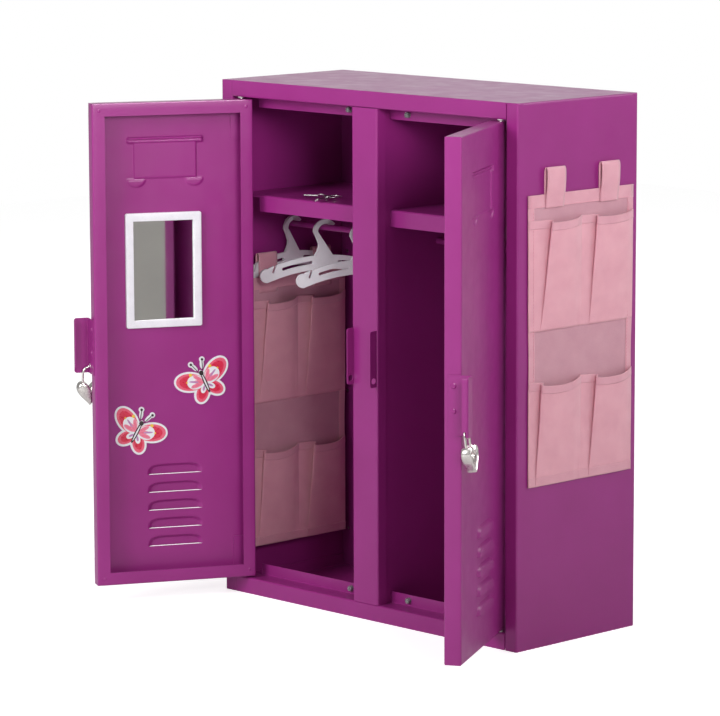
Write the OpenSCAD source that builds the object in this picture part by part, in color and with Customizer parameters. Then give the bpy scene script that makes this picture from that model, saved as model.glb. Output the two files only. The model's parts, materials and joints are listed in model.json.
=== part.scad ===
// Two-door sheet-metal locker in doll size, with shelves, rods, hasps, padlocks,
// hangers and two hanging pocket organizers. Origin: centre of the base. +Z up,
// the doors face -Y. The doors stand open, which is where the joints start.

/* [Cabinet] */
// Overall width
cab_w = 398; // [320:1:480]
// Overall depth
cab_d = 163; // [140:1:200]
// Overall height
cab_h = 508; // [460:1:610]
// Thickness of the sheet metal
sheet_t = 1; // [0.8:0.1:1.2]
// Bend radius at the middle of the sheet
bend_r = 1.5; // [1.2:0.1:2]

/* [Front frame] */
// Width of the stile at each side of the front
stile_w = 15; // [12:0.5:20]
// Depth of the hem behind each stile
stile_hem = 7; // [4:0.5:9]
// Height of the top and bottom rails
rail_h = 16; // [14:0.5:20]
// Width of the centre post
post_w = 34; // [32:0.5:44]
// Depth of the flanges beside the centre post
post_flange = 11.5; // [6:0.5:14]
// Distance from the front to the lips that the doors stop on
stop_y = 20; // [19.5:0.5:24]
// Height of the stop lips
stop_h = 11; // [9:0.5:14]
// Length left off each lip beside its hinge
stop_inset = 17; // [14:0.5:24]
// Diameter of the round door bumpers
bumper_d = 6; // [4:0.5:7]
// Distance from the cabinet's middle to a bumper
bumper_x = 39.5; // [30:0.5:60]
// Height of the floor pan's turned-up sides
floor_side = 12; // [8:0.5:14]

/* [Shelves and rods] */
// Height of the top of the shelves
shelf_z = 395; // [380:1:410]
// Height of the turned-down front edge of the shelves
shelf_lip = 16; // [10:0.5:18]
// Diameter of the hanging rods
rod_d = 6; // [4:0.5:8]
// Height of the middle of the rods
rod_z = 360; // [350:1:363]
// Distance from the front to the rods
rod_y = 84; // [80:1:88]

/* [Doors] */
// Thickness of a door
door_t = 16; // [14:0.5:16]
// Gap between a door and its hinge stile
gap_hinge = 1.5; // [1.2:0.1:2]
// Gap between a door and the centre post
gap_free = 5.3; // [5:0.1:7]
// Gap above and below a door
gap_end = 1.8; // [1.5:0.1:3]
// Distance of the door's face behind the frame's face
door_recess = 0.3; // [0.2:0.1:1]
// Width of the flange turned in behind each door edge
door_return = 12.5; // [8:0.5:14]
// Distance from the door's hinge edge to its pivot
pivot_in = 8; // [7:0.5:10]
// Distance from the door's face back to its pivot
pivot_back = 3.2; // [3:0.1:4]
// Diameter of the pivot pins
pin_d = 3; // [2.5:0.1:3.2]
// Angle at which the left door stands open
open_left = 117.2; // [60:0.1:125]
// Angle at which the right door stands open
open_right = 119.5; // [60:0.1:125]

/* [Door pressings] */
// Width of the pressed card holder
card_w = 76; // [60:1:90]
// Height of the pressed card holder
card_h = 45; // [30:1:50]
// Drop from the door's top to the middle of the card holder
card_drop = 58.7; // [50:0.5:80]
// Number of louvres
louvre_count = 5; // [3:1:7]
// Width of a louvre
louvre_w = 54; // [40:1:70]
// Height of a louvre
louvre_h = 9; // [7:0.5:11]
// Distance between louvres
louvre_pitch = 17.9; // [14:0.1:20]
// Height of the lowest louvre above the door's bottom
louvre_up = 33.5; // [30:0.5:60]

/* [Hasps and padlocks] */
// Height of the hasps above the ground
hasp_z = 226; // [200:1:240]
// Height of a hasp
hasp_h = 54; // [45:1:60]
// Distance that a hasp stands in front of the door
hasp_out = 10; // [9.6:0.1:12]
// Reach of a hasp past the door's edge
hasp_reach = 15.2; // [13:0.1:15.5]
// Depth of the hasp's turned-back edge
hasp_lip = 5.8; // [4:0.1:6]
// Diameter of the padlock holes
hole_d = 6; // [5.5:0.1:6.5]
// Height of the padlock holes above the hasp's bottom
hole_up = 7.7; // [7:0.1:9]
// Distance of the padlock holes in front of the frame
hole_out = 3.8; // [3.5:0.1:4.5]
// Distance that a strike plate stands in front of the post
strike_out = 9; // [8:0.1:9]
// Diameter of the shackle's wire
shackle_d = 2.4; // [2:0.1:2.6]
// Distance between the middles of the shackle's legs
shackle_w = 14; // [13:0.5:16]
// Height of the shackle above the padlock's case
shackle_up = 15; // [13:0.5:18]
// Width of the heart-shaped padlock case
lock_w = 25; // [22:0.5:27]
// Thickness of the padlock case
lock_t = 11; // [9:0.5:11]
// Lean of the padlock away from the door
lock_lean = 7; // [6:0.5:12]

/* [Mirror] */
// Width of the mirror frame
mirror_w = 76; // [60:1:90]
// Height of the mirror frame
mirror_h = 112.5; // [90:0.5:120]
// Height of the mirror frame's bottom above the ground
mirror_z = 269; // [250:1:280]
// Width of the mirror frame's border
mirror_border = 8; // [6:0.5:10]

/* [Hangers] */
// Width of a hanger over its round ends
hanger_w = 134; // [100:1:134]
// Thickness of a hanger
hanger_t = 3; // [2:0.1:4]
// Height of a hanger's arms where they meet
arm_h = 14; // [10:0.5:16]
// Turn of the two free hangers away from the side wall
hanger_turn = 26; // [0:1:26]

/* [Organizers] */
// Width of the organizer on the side wall
org_w = 143; // [120:1:143]
// Height of an organizer's back sheet
org_h = 270; // [240:1:280]
// Height of the top of the outside organizer's back sheet
org_z = 423; // [400:1:440]
// Height of the upper pockets
pocket_h = 103; // [80:1:110]
// Height of the lower pockets
pocket_low_h = 98; // [80:1:110]
// Depth of a pocket at its mouth
pocket_d = 8; // [7:0.5:9]
// Width of a strap
strap_w = 26; // [20:1:30]

/* [Hidden] */
$fn = 48;

purple = [0.6, 0.22, 0.52];
half_w = cab_w / 2;
open_x = half_w - stile_w;
post_x = post_w / 2;
open_z0 = rail_h;
open_z1 = cab_h - rail_h;
inner_back = cab_d - 2 * sheet_t;
divider_x = post_x - 2 * sheet_t;
touch = 0.1;

door_w = open_x - post_x - gap_hinge - gap_free;
door_x0 = -open_x + gap_hinge;
door_x1 = door_x0 + door_w;
door_z0 = open_z0 + gap_end;
door_z1 = open_z1 - gap_end;
door_mid = (door_x0 + door_x1) / 2;
door_skin = door_recess + sheet_t;
pivot_x = -open_x + gap_hinge + pivot_in;
pivot_y = door_recess + pivot_back;
bush_r = pin_d / 2 + 0.7;
bush_flange_r = pin_d / 2 + 1.6;
bush_flange_t = 0.6;
running_gap = 0.05;
pin_engage = 4;

web_x = door_x1 + sheet_t / 2;
hole_z = hasp_z + hole_up;
hasp_y = door_recess - hasp_out;
strike_x = post_x - 1.5 * sheet_t;
strike_z = hasp_z + 1.5;
crown_drop = 1.3;
leg_r = shackle_w / 2;
lock_top = -crown_drop - shackle_up;
lock_h = lock_w;
leg_seat = 8;
plug_d = 7;

hook_r = 7.8;
hook_wire = 4.7;
hook_z = rod_z + rod_d / 2 + 0.3 - hook_r;
arm_z = rod_z - 27.5;
arm_sag = 0.0032;
lobe_r = 7;
hanger_x = [-188, -142, -90];
hanger_angle = [0, hanger_turn, hanger_turn];

org_t = 1.2;
org_bottom_seam = 3;
strap_rise = 25;
strap_x = 37;
pocket_gap = 2;
org_head = 23;
upper_row = [org_head + pocket_h, pocket_h];
lower_row = [org_h, pocket_low_h];
inside_org_w = 133;
inside_org_top = arm_z - arm_h - 8;
inside_org_y = rod_y + 3;
magnet_d = 14;
magnet_t = 2;
magnet_z = org_z + strap_rise - 12;
wall_gap = 0.3;
key_spot = [-86, 42];
mirror_mid = door_x1 - 72.7;
mirror_t = 4;
glass_edge = mirror_border - 2;
card_mid = door_mid + 4.5;
louvre_mid = door_mid - 2.3;
strike_tip = min(strike_out, hasp_out - door_recess - sheet_t - 0.3);
red_in = 105;
red_z = 214;
red_lean = 22;
pink_in = 45.7;
pink_z = 170;
pink_lean = -32;

// ---- sheet sections -------------------------------------------------------

function unit(v) = v / norm(v);
function left_of(v) = [-v[1], v[0]];
function turn_by(v, a) = [v[0] * cos(a) - v[1] * sin(a), v[0] * sin(a) + v[1] * cos(a)];
function bend_angle(a, b) = atan2(a[0] * b[1] - a[1] * b[0], a * b);

// One side of a folded strip, s to the left of its middle line, with round bends.
function strip_side(p, s, r, steps = 5) = [
    p[0] + s * left_of(unit(p[1] - p[0])),
    for (i = [1 : len(p) - 2])
        let (d0 = unit(p[i] - p[i - 1]), d1 = unit(p[i + 1] - p[i]),
             a = bend_angle(d0, d1), way = sign(a),
             c = p[i] - d0 * r * tan(abs(a) / 2) + way * r * left_of(d0))
        for (k = [0 : steps]) c + turn_by((s - way * r) * left_of(d0), a * k / steps),
    p[len(p) - 1] + s * left_of(unit(p[len(p) - 1] - p[len(p) - 2]))];

function reversed(p) = [for (i = [len(p) - 1 : -1 : 0]) p[i]];

// Section of a folded sheet along the points p.
module strip(p, t = sheet_t, r = bend_r) {
    polygon(concat(strip_side(p, t / 2, r), reversed(strip_side(p, -t / 2, r))));
}

function corner_arc(c, r, from, steps = 5) =
    [for (k = [0 : steps]) c + r * [cos(from + 90 * k / steps), sin(from + 90 * k / steps)]];

// Rectangle from a to b with rounded corners.
module soft_rect(a, b, r) {
    polygon(concat(corner_arc([b[0] - r, b[1] - r], r, 0), corner_arc([a[0] + r, b[1] - r], r, 90),
        corner_arc([a[0] + r, a[1] + r], r, 180), corner_arc([b[0] - r, a[1] + r], r, 270)));
}

module block(a, b) translate(a) cube(b - a);

// Extrudes a drawing of [y, z] along X from x0 to x1.
module along_x(x0, x1) translate([x0, 0, 0]) rotate([90, 0, 90]) linear_extrude(x1 - x0) children();

// Extrudes a drawing of [x, z] along Y from y0 to y1.
module along_y(y0, y1) translate([0, y1, 0]) rotate([90, 0, 0]) linear_extrude(y1 - y0) children();

// Extrudes a drawing of [x, y] along Z from z0 to z1.
module along_z(z0, z1) translate([0, 0, z0]) linear_extrude(z1 - z0) children();

// Pieces are drawn with y = 0 at the cabinet's front.
module from_front() translate([0, -cab_d / 2, 0]) children();
module both_sides() for (side = [0, 1]) mirror([side, 0, 0]) children();
module swing(angle)
    translate([pivot_x, pivot_y, 0]) rotate([0, 0, -angle]) translate([-pivot_x, -pivot_y, 0]) children();
module on_left_door() from_front() swing(open_left) children();
module on_right_door() from_front() mirror([1, 0, 0]) swing(open_right) children();

// ---- carcass --------------------------------------------------------------

module shell() {
    t2 = sheet_t / 2;
    color(purple) from_front() difference() {
        union() {
            intersection() {
                along_y(0, cab_d) strip([[-half_w + t2, 0], [-half_w + t2, cab_h - t2],
                    [half_w - t2, cab_h - t2], [half_w - t2, 0]]);
                along_z(0, cab_h) soft_rect([-half_w, 0], [half_w, cab_d], bend_r + t2);
            }
            both_sides() along_z(0, cab_h - sheet_t) {
                strip([[-open_x - t2, stile_hem], [-open_x - t2, t2],
                    [-half_w + t2, t2], [-half_w + t2, stile_hem]]);
                strip([[-half_w + t2, cab_d - stile_hem], [-half_w + t2, cab_d - t2],
                    [-open_x + 2, cab_d - t2]]);
            }
        }
        rivet_holes();
    }
}

module rivet_spots() {
    end_gap = 40;
    step = (cab_h - 2 * end_gap) / 3;
    both_sides() for (k = [0 : 3])
        translate([half_w - 10, cab_d, end_gap + step * k]) rotate([90, 0, 0]) children();
}

module rivet_holes() rivet_spots() translate([0, 0, -1]) cylinder(d = 3, h = 2 * sheet_t + 2);

module back_panel() {
    side = half_w - sheet_t / 2 - bend_r;
    color(purple) from_front() difference() {
        along_y(inner_back, cab_d - sheet_t)
            soft_rect([-side, sheet_t], [side, cab_h - sheet_t], 1);
        rivet_holes();
    }
}

module back_rivets() {
    color("silver") from_front() rivet_spots() {
        cylinder(d = 3, h = 2 * sheet_t + 0.8);
        translate([0, 0, -0.9]) cylinder(d1 = 4, d2 = 5.6, h = 0.9, $fn = 32);
    }
}

module floor_pan() {
    t2 = sheet_t / 2;
    x = half_w - sheet_t - t2;
    color(purple) from_front() along_y(stile_hem + touch, inner_back)
        strip([[-x, floor_side], [-x, t2], [x, t2], [x, floor_side]]);
}

module rail_section(h, edge) {
    t2 = sheet_t / 2;
    strip([[t2, edge], [t2, h - t2], [stop_y + t2, h - t2], [stop_y + t2, h + stop_h]]);
}

module rail(edge) {
    lip_y1 = stop_y + sheet_t + 1;
    difference() {
        along_x(-open_x, open_x) rail_section(rail_h, edge);
        both_sides() {
            block([-open_x - 1, sheet_t + bend_r, rail_h + touch],
                [-open_x + stop_inset, lip_y1, rail_h + stop_h + 1]);
            block([-open_x - 1, sheet_t, 0], [-open_x + touch, stile_hem + touch, rail_h + 1]);
            translate([pivot_x, pivot_y, 0]) cylinder(r = bush_r, h = rail_h + 1);
        }
        block([-divider_x, sheet_t + bend_r, rail_h], [divider_x, lip_y1, rail_h + stop_h + 1]);
    }
}

module bottom_rail() color(purple) from_front() rail(0);
module top_rail() color(purple) from_front() translate([0, 0, cab_h]) mirror([0, 0, 1]) rail(sheet_t);

module centre_post() {
    t2 = sheet_t / 2;
    x = post_x - t2;
    color(purple) from_front() difference() {
        along_z(open_z0, open_z1) strip([[-x, post_flange], [-x, t2], [x, t2], [x, post_flange]]);
        both_sides() block([strike_x - t2, -1, strike_z],
            [strike_x + t2, sheet_t + bend_r, strike_z + hasp_h]);
    }
}

module strike_plates() {
    t2 = sheet_t / 2;
    color(purple) from_front() both_sides() difference() {
        along_x(strike_x - t2, strike_x + t2)
            soft_rect([-strike_tip, strike_z], [post_flange - 1, strike_z + hasp_h], 2.5);
        translate([strike_x - t2 - 1, -hole_out, hole_z]) rotate([0, 90, 0])
            cylinder(d = hole_d, h = sheet_t + 2);
    }
}

module divider() {
    t2 = sheet_t / 2;
    x = divider_x - t2;
    y1 = stop_y + sheet_t + touch;
    color(purple) from_front() difference() {
        along_z(sheet_t, cab_h - sheet_t)
            strip([[-x, sheet_t], [-x, inner_back - t2], [x, inner_back - t2], [x, sheet_t]]);
        block([-post_x, 0, 0], [post_x, y1, open_z0 + touch]);
        block([-post_x, 0, open_z1 - touch], [post_x, y1, cab_h]);
    }
}

module door_bumpers() {
    t = stop_y - door_recess - door_t - 0.5;
    color("gainsboro") from_front() both_sides() for (z = [open_z0 + stop_h / 2, open_z1 - stop_h / 2])
        translate([bumper_x, stop_y, z]) rotate([90, 0, 0]) cylinder(d1 = bumper_d, d2 = bumper_d - 1, h = t);
}

module pivot_bushes() {
    color("white") from_front() both_sides() for (top = [0, 1])
        translate([pivot_x, pivot_y, top ? cab_h : 0]) mirror([0, 0, top]) difference() {
            union() {
                translate([0, 0, rail_h]) cylinder(r = bush_flange_r, h = bush_flange_t);
                translate([0, 0, rail_h - sheet_t - 2]) cylinder(r = bush_r, h = sheet_t + 2);
            }
            cylinder(d = pin_d + 2 * running_gap, h = rail_h + 2);
        }
}

// ---- shelves and rods -----------------------------------------------------

module shelf() {
    t2 = sheet_t / 2;
    x0 = -half_w + sheet_t;
    x1 = -divider_x;
    color(purple) from_front() difference() {
        along_x(x0, x1) strip([[stop_y + t2, shelf_z - shelf_lip], [stop_y + t2, shelf_z - t2],
            [inner_back - t2, shelf_z - t2], [inner_back - t2, shelf_z - shelf_lip / 2]]);
        block([x0 - 1, 0, shelf_z - shelf_lip - 1],
            [-open_x + stop_inset, stop_y + 3, shelf_z - sheet_t - bend_r]);
    }
}

module shelf_left() shelf();
module shelf_right() mirror([1, 0, 0]) shelf();

module rod() {
    color(purple) from_front() translate([-half_w + sheet_t, rod_y, rod_z]) rotate([0, 90, 0])
        cylinder(d = rod_d, h = half_w - sheet_t - divider_x);
}

module rod_left() rod();
module rod_right() mirror([1, 0, 0]) rod();

// ---- doors ----------------------------------------------------------------

// A louvre drawn in [y, z]: a cowl that rises in front of the door and is open below.
module louvre_side(grow) {
    y = door_recess + grow;
    polygon([[y, grow], [y, louvre_h - grow], [y - 1.6 , louvre_h * 0.55], [y - 2.6, grow]]);
}

module louvre_cowls() {
    wall = 0.7 * sheet_t;
    for (i = [0 : louvre_count - 1])
        translate([louvre_mid, 0, door_z0 + louvre_up + i * louvre_pitch]) difference() {
            along_x(-louvre_w / 2, louvre_w / 2) louvre_side(0);
            along_x(-louvre_w / 2 + wall, louvre_w / 2 - wall)
                translate([0, -wall]) louvre_side(wall);
        }
}

module louvre_windows() {
    for (i = [0 : louvre_count - 1]) translate([louvre_mid, 0, door_z0 + louvre_up + i * louvre_pitch])
        block([-louvre_w / 2 + 1, 0, 0.7], [louvre_w / 2 - 1, door_skin + 1, louvre_h - 2]);
}

module card_bead(w, y0, y1) {
    x = card_w / 2;
    z = card_h / 2;
    translate([card_mid, 0, door_z1 - card_drop]) difference() {
        block([-x - w / 2, y0, -z - w / 2], [x + w / 2, y1, z + w / 2]);
        block([-x + w / 2, y0 - 1, -z + w / 2], [x - w / 2, y1 + 1, z - w / 2]);
    }
}

module door_pan() {
    r = bend_r + sheet_t / 2;
    y0 = door_recess;
    y1 = door_recess + door_t;
    g = sheet_t;
    difference() {
        union() {
            difference() {
                intersection() {
                    along_z(door_z0, door_z1) soft_rect([door_x0, y0], [door_x1, y1], r);
                    along_x(door_x0, door_x1) soft_rect([y0, door_z0], [y1, door_z1], r);
                }
                block([door_x0 + g, y0 + g, door_z0 + g], [door_x1 - g, y1 - g, door_z1 - g]);
                block([door_x0 + door_return, y0 + g, door_z0 + door_return],
                    [door_x1 - door_return, y1 + 1, door_z1 - door_return]);
            }
            louvre_cowls();
            card_bead(4, door_skin - touch, door_skin + 0.8);
        }
        louvre_windows();
        card_bead(2.4, y0 - 1, y0 + 0.8);
        translate([pivot_x, pivot_y, 0]) cylinder(d = pin_d, h = cab_h);
    }
}

module door_left() color(purple) on_left_door() door_pan();
module door_right() color(purple) on_right_door() door_pan();

// Plates inside the pan that carry the pivot pins.
module bracket() {
    y0 = door_skin;
    depth = door_t - 2 * sheet_t;
    x0 = door_x0 + sheet_t;
    difference() {
        union() {
            block([x0, y0, 0], [x0 + 20, y0 + depth, 1.2]);
            block([x0, y0, 1.2], [x0 + 18, y0 + 1.2, 38]);
        }
        translate([pivot_x, pivot_y, -1]) cylinder(d = pin_d, h = 60);
    }
}

module hinge_brackets() {
    translate([0, 0, door_z0 + sheet_t]) bracket();
    translate([0, 0, door_z1 - sheet_t]) mirror([0, 0, 1]) bracket();
}

module pivot_pins() {
    inside = 8;
    h = inside + gap_end + sheet_t + pin_engage;
    translate([pivot_x, pivot_y, door_z0 + inside - h]) cylinder(d = pin_d, h = h);
    translate([pivot_x, pivot_y, door_z1 - inside]) cylinder(d = pin_d, h = h);
}

module hinge_brackets_left() color(purple) on_left_door() hinge_brackets();
module hinge_brackets_right() color(purple) on_right_door() hinge_brackets();
module pivot_pins_left() color("silver") on_left_door() pivot_pins();
module pivot_pins_right() color("silver") on_right_door() pivot_pins();

// ---- hasps and padlocks ---------------------------------------------------

module hasp_rivet_spots() {
    for (z = [hasp_z + hasp_h * 0.4, hasp_z + hasp_h * 0.82])
        translate([door_x1, door_recess + 7, z]) rotate([0, 90, 0]) children();
}

module hasp() {
    t2 = sheet_t / 2;
    x2 = door_x1 + hasp_reach - t2;
    y = hasp_y + t2;
    difference() {
        intersection() {
            along_z(hasp_z, hasp_z + hasp_h)
                strip([[web_x, door_recess + 12], [web_x, y], [x2, y], [x2, y + hasp_lip - t2]]);
            along_y(hasp_y - 1, door_t)
                soft_rect([door_x1 - 10, hasp_z], [door_x1 + hasp_reach, hasp_z + hasp_h], 3);
        }
        translate([web_x - 2, -hole_out, hole_z]) rotate([0, 90, 0]) cylinder(d = hole_d, h = 4);
        block([x2 - t2 - touch, y + bend_r, hasp_z - 1], [x2 + 1, y + hasp_lip + 1, hasp_z + 6]);
        hasp_rivet_spots() translate([0, 0, -1]) cylinder(d = 3, h = 4);
    }
}

module hasp_rivets() {
    hasp_rivet_spots() {
        translate([0, 0, -2 * sheet_t]) cylinder(d = 5, h = sheet_t);
        translate([0, 0, sheet_t]) cylinder(d1 = 5, d2 = 3.6, h = 0.9, $fn = 32);
        cylinder(d = 3, h = sheet_t);
    }
}

// Hangs a padlock piece from the hasp's hole: its own frame has z = 0 at the hole.
module at_hole() translate([web_x, -hole_out, hole_z]) rotate([-lock_lean, 0, 0]) children();

module shackle() {
    at_hole() {
        translate([0, 0, -crown_drop - leg_r]) {
            rotate([90, 0, 0]) rotate_extrude(angle = 180) translate([leg_r, 0]) circle(d = shackle_d);
            leg = shackle_up + leg_seat - leg_r;
            for (x = [-leg_r, leg_r]) translate([x, 0, -leg]) cylinder(d = shackle_d, h = leg);
        }
    }
}

function heart_edge(w, h, steps = 40) = [for (k = [0 : steps - 1]) let (a = 360 * k / steps)
    [w / 2 * pow(abs(sin(a)), 3) * sign(sin(a)),
     h * (13 * cos(a) - 5 * cos(2 * a) - 2 * cos(3 * a) - cos(4 * a) - 12) / 29]];

module lock_case() {
    at_hole() translate([0, 0, lock_top]) difference() {
        union() {
            along_y(-lock_t / 2, lock_t / 2) polygon(heart_edge(lock_w - 2, lock_h - 2));
            along_y(-lock_t / 2 + 1.2, lock_t / 2 - 1.2)
                translate([0, 1]) polygon(heart_edge(lock_w, lock_h));
        }
        for (x = [-leg_r, leg_r]) translate([x, 0, -leg_seat - 4]) cylinder(d = shackle_d + 0.2, h = 20);
        translate([0, -lock_t / 2 + 4, -lock_h * 0.45]) rotate([90, 0, 0]) cylinder(d = plug_d, h = 6);
    }
}

module key_plug() {
    at_hole() translate([0, -lock_t / 2 + 4, lock_top - lock_h * 0.45]) rotate([90, 0, 0]) difference() {
        cylinder(d = plug_d, h = 4.2);
        translate([-0.6, -2, 1.5]) cube([1.2, 4, 5]);
        translate([0, 1.2, 1.5]) cylinder(d = 2.2, h = 5);
    }
}

module hasp_left() color(purple) on_left_door() hasp();
module hasp_right() color(purple) on_right_door() hasp();
module hasp_rivets_left() color(purple) on_left_door() hasp_rivets();
module hasp_rivets_right() color(purple) on_right_door() hasp_rivets();
module shackle_left() color("silver") on_left_door() shackle();
module shackle_right() color("silver") on_right_door() shackle();
module lock_case_left() color("gainsboro") on_left_door() lock_case();
module lock_case_right() color("gainsboro") on_right_door() lock_case();
module key_plug_left() color("gray") on_left_door() key_plug();
module key_plug_right() color("gray") on_right_door() key_plug();

// ---- what hangs on the left door ------------------------------------------

module mirror_frame() {
    x = mirror_w / 2;
    color("white") on_left_door() translate([mirror_mid, door_skin, mirror_z]) difference() {
        along_y(0, mirror_t) soft_rect([-x, 0], [x, mirror_h], 2);
        along_y(1, mirror_t + 1)
            soft_rect([-x + mirror_border, mirror_border], [x - mirror_border, mirror_h - mirror_border], 1);
        along_y(1, 2.6) soft_rect([-x + glass_edge, glass_edge], [x - glass_edge, mirror_h - glass_edge], 1);
    }
}

module mirror_glass() {
    x = mirror_w / 2 - glass_edge;
    color("lightblue") on_left_door() translate([mirror_mid, door_skin, mirror_z])
        along_y(1, 2.6) soft_rect([-x, glass_edge], [x, mirror_h - glass_edge], 1);
}

// One wing of a butterfly as a loop: its reach from the body changes with the angle.
function wing(size, from, to, steps = 16) = [
    [0, 0],
    for (k = [0 : steps])
        let (a = from + (to - from) * k / steps, r = size * pow(sin(180 * k / steps), 0.45))
        r * [cos(a), sin(a)]];

module butterfly(lean) {
    rotate([0, lean, 0]) along_y(0, 1) {
        for (side = [0, 1]) mirror([side, 0]) {
            polygon(wing(31, -8, 78));
            polygon(wing(25, -85, 2));
        }
        soft_rect([-3, -16], [3, 16], 2.5);
    }
}

module butterfly_red()
    color("tomato") on_left_door() translate([door_x1 - red_in, door_skin, red_z]) butterfly(red_lean);
module butterfly_pink()
    color("hotpink") on_left_door() translate([door_x1 - pink_in, door_skin, pink_z]) butterfly(pink_lean);

// ---- hangers --------------------------------------------------------------

function arm_line(offset, h0, h1, steps = 10) =
    [for (k = [0 : steps]) let (h = h0 + (h1 - h0) * k / steps) [h, offset - arm_sag * h * h]];

function arc(c, r, from, to, steps = 16) =
    [for (k = [0 : steps]) let (a = from + (to - from) * k / steps) c + r * [cos(a), sin(a)]];

module hanger_slot(h0, h1) {
    mid = -arm_h * 0.46;
    r = 1.6;
    end0 = [h0, mid - arm_sag * h0 * h0];
    end1 = [h1, mid - arm_sag * h1 * h1];
    polygon(concat(arm_line(mid - r, h0, h1), arc(end1, r, -60, 60, 6),
        reversed(arm_line(mid + r, h0, h1)), arc(end0, r, 120, 240, 6)));
}

// Outline drawn once round: under the arms, up the stem, along the hook and back.
module hanger_outline() {
    lobe_h = hanger_w / 2 - lobe_r;
    lobe_z = -arm_sag * lobe_h * lobe_h - arm_h / 2;
    hook_c = [0.5, hook_z - arm_z];
    hook_tip = 37;
    stem_foot = 8;
    stem_left = [[-9.8, 18.9], [-8, 14.6], [-6.6, 10.8], [-7, 7], [-8.6, 3.4]];
    arm_end = lobe_h - 2;
    difference() {
        polygon(concat(
            arm_line(-arm_h, -arm_end, arm_end), arc([lobe_h, lobe_z], lobe_r, -95, 100),
            reversed(arm_line(0, stem_foot, arm_end)),
            arc(hook_c, hook_r, 178, hook_tip, 24), arc(hook_c, hook_r + hook_wire, hook_tip, 180, 24),
            stem_left,
            reversed(arm_line(0, -arm_end, -stem_foot - 3)), arc([-lobe_h, lobe_z], lobe_r, 80, 275)));
        for (side = [0, 1]) mirror([side, 0]) {
            hanger_slot(14.5, hanger_w / 2 - 24);
            translate([lobe_h - 6, lobe_z + 2.5]) rotate(20) soft_rect([-1, 0], [1.2, 14], 0.9);
        }
    }
}

module hanger(i) {
    color("white") from_front() translate([hanger_x[i], rod_y, arm_z]) rotate([0, 0, 90 - hanger_angle[i]])
        along_y(-hanger_t / 2, hanger_t / 2) hanger_outline();
}

module hanger_wall() hanger(0);
module hanger_middle() hanger(1);
module hanger_inner() hanger(2);

// ---- organizers -----------------------------------------------------------

// A pocket in its own frame: back at x = 0, mouth up, y across.
module pocket(w, h) {
    lip = pocket_d;
    foot = pocket_d * 0.7;
    difference() {
        rotate([90, 0, 0]) linear_extrude(w, center = true)
            polygon([[0, 0], [foot + org_t, 0], [lip + org_t, h], [0, h]]);
        rotate([90, 0, 0]) linear_extrude(w - 2 * org_t, center = true)
            polygon([[-1, org_bottom_seam], [foot, org_bottom_seam], [lip, h + 1], [-1, h + 1]]);
    }
}

// A row is [drop of its bottom below the sheet's top, height of its pockets].
module pocket_row(w, top, row) {
    for (side = [-1, 1])
        translate([org_t, side * w / 4, top - row[0]]) pocket(w / 2 - pocket_gap / 2, row[1]);
}

module back_sheet(w, top) block([0, -w / 2, top - org_h], [org_t, w / 2, top]);

module at_side_wall() color("pink") from_front() translate([half_w + wall_gap, rod_y, 0]) children();

module organizer_outside() {
    strap_t = magnet_t + 2 * org_t;
    at_side_wall() {
        back_sheet(org_w, org_z);
        for (y = [-strap_x, strap_x]) difference() {
            block([0, y - strap_w / 2, org_z - 12], [strap_t, y + strap_w / 2, org_z + strap_rise]);
            translate([org_t, y, magnet_z]) rotate([0, 90, 0]) cylinder(d = magnet_d, h = magnet_t);
        }
    }
}

module outside_pockets_upper() at_side_wall() pocket_row(org_w, org_z, upper_row);
module outside_pockets_lower() at_side_wall() pocket_row(org_w, org_z, lower_row);

module strap_magnets() {
    color("dimgray") from_front() for (y = [-strap_x, strap_x])
        translate([half_w + wall_gap + org_t, rod_y + y, magnet_z]) rotate([0, 90, 0])
            cylinder(d = magnet_d, h = magnet_t);
}

arm_gap = hanger_t / 2 + 0.2;

module at_wall_hanger() color("pink") from_front() translate([hanger_x[0], inside_org_y, 0]) children();

module organizer_inside() {
    arm_top = arm_z + 1;
    arm_bottom = arm_z - arm_h - 0.6 - arm_sag * pow(strap_x + strap_w / 2, 2);
    out = arm_gap + org_t;
    at_wall_hanger() {
        translate([arm_gap, 0, 0]) back_sheet(inside_org_w, inside_org_top);
        for (y = [-strap_x, strap_x]) translate([0, y - 2, 0]) difference() {
            block([-out, -strap_w / 2, arm_bottom - org_t], [out, strap_w / 2, arm_top + org_t]);
            block([-arm_gap, -strap_w, arm_bottom], [arm_gap, strap_w, arm_top]);
        }
    }
}

module inside_pockets(row)
    at_wall_hanger() translate([arm_gap, 0, 0]) pocket_row(inside_org_w, inside_org_top, row);
module inside_pockets_upper() inside_pockets(upper_row);
module inside_pockets_lower() inside_pockets(lower_row);

// ---- keys -----------------------------------------------------------------

module key() {
    rotate([28, 0, 0]) translate([0, 0, -0.5]) linear_extrude(1) difference() {
        union() {
            translate([3, 0]) circle(d = 9.5, $fn = 32);
            translate([5, -1.4]) square([17, 2.8]);
            for (x = [15, 18.5]) translate([x, -3.6]) square([2, 3]);
        }
        circle(d = 4.4);
    }
}

ring_r = 8;
ring_z = shelf_z + 3;

module keys() {
    color("silver") from_front() translate([key_spot[0], key_spot[1], ring_z])
        for (a = [205, 285]) rotate([0, 0, a]) translate([ring_r, 0, 0]) key();
}

module key_ring() {
    color("silver") from_front() translate([key_spot[0], key_spot[1], ring_z])
        rotate_extrude() translate([ring_r, 0]) circle(d = 1.2, $fn = 24);
}

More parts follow.
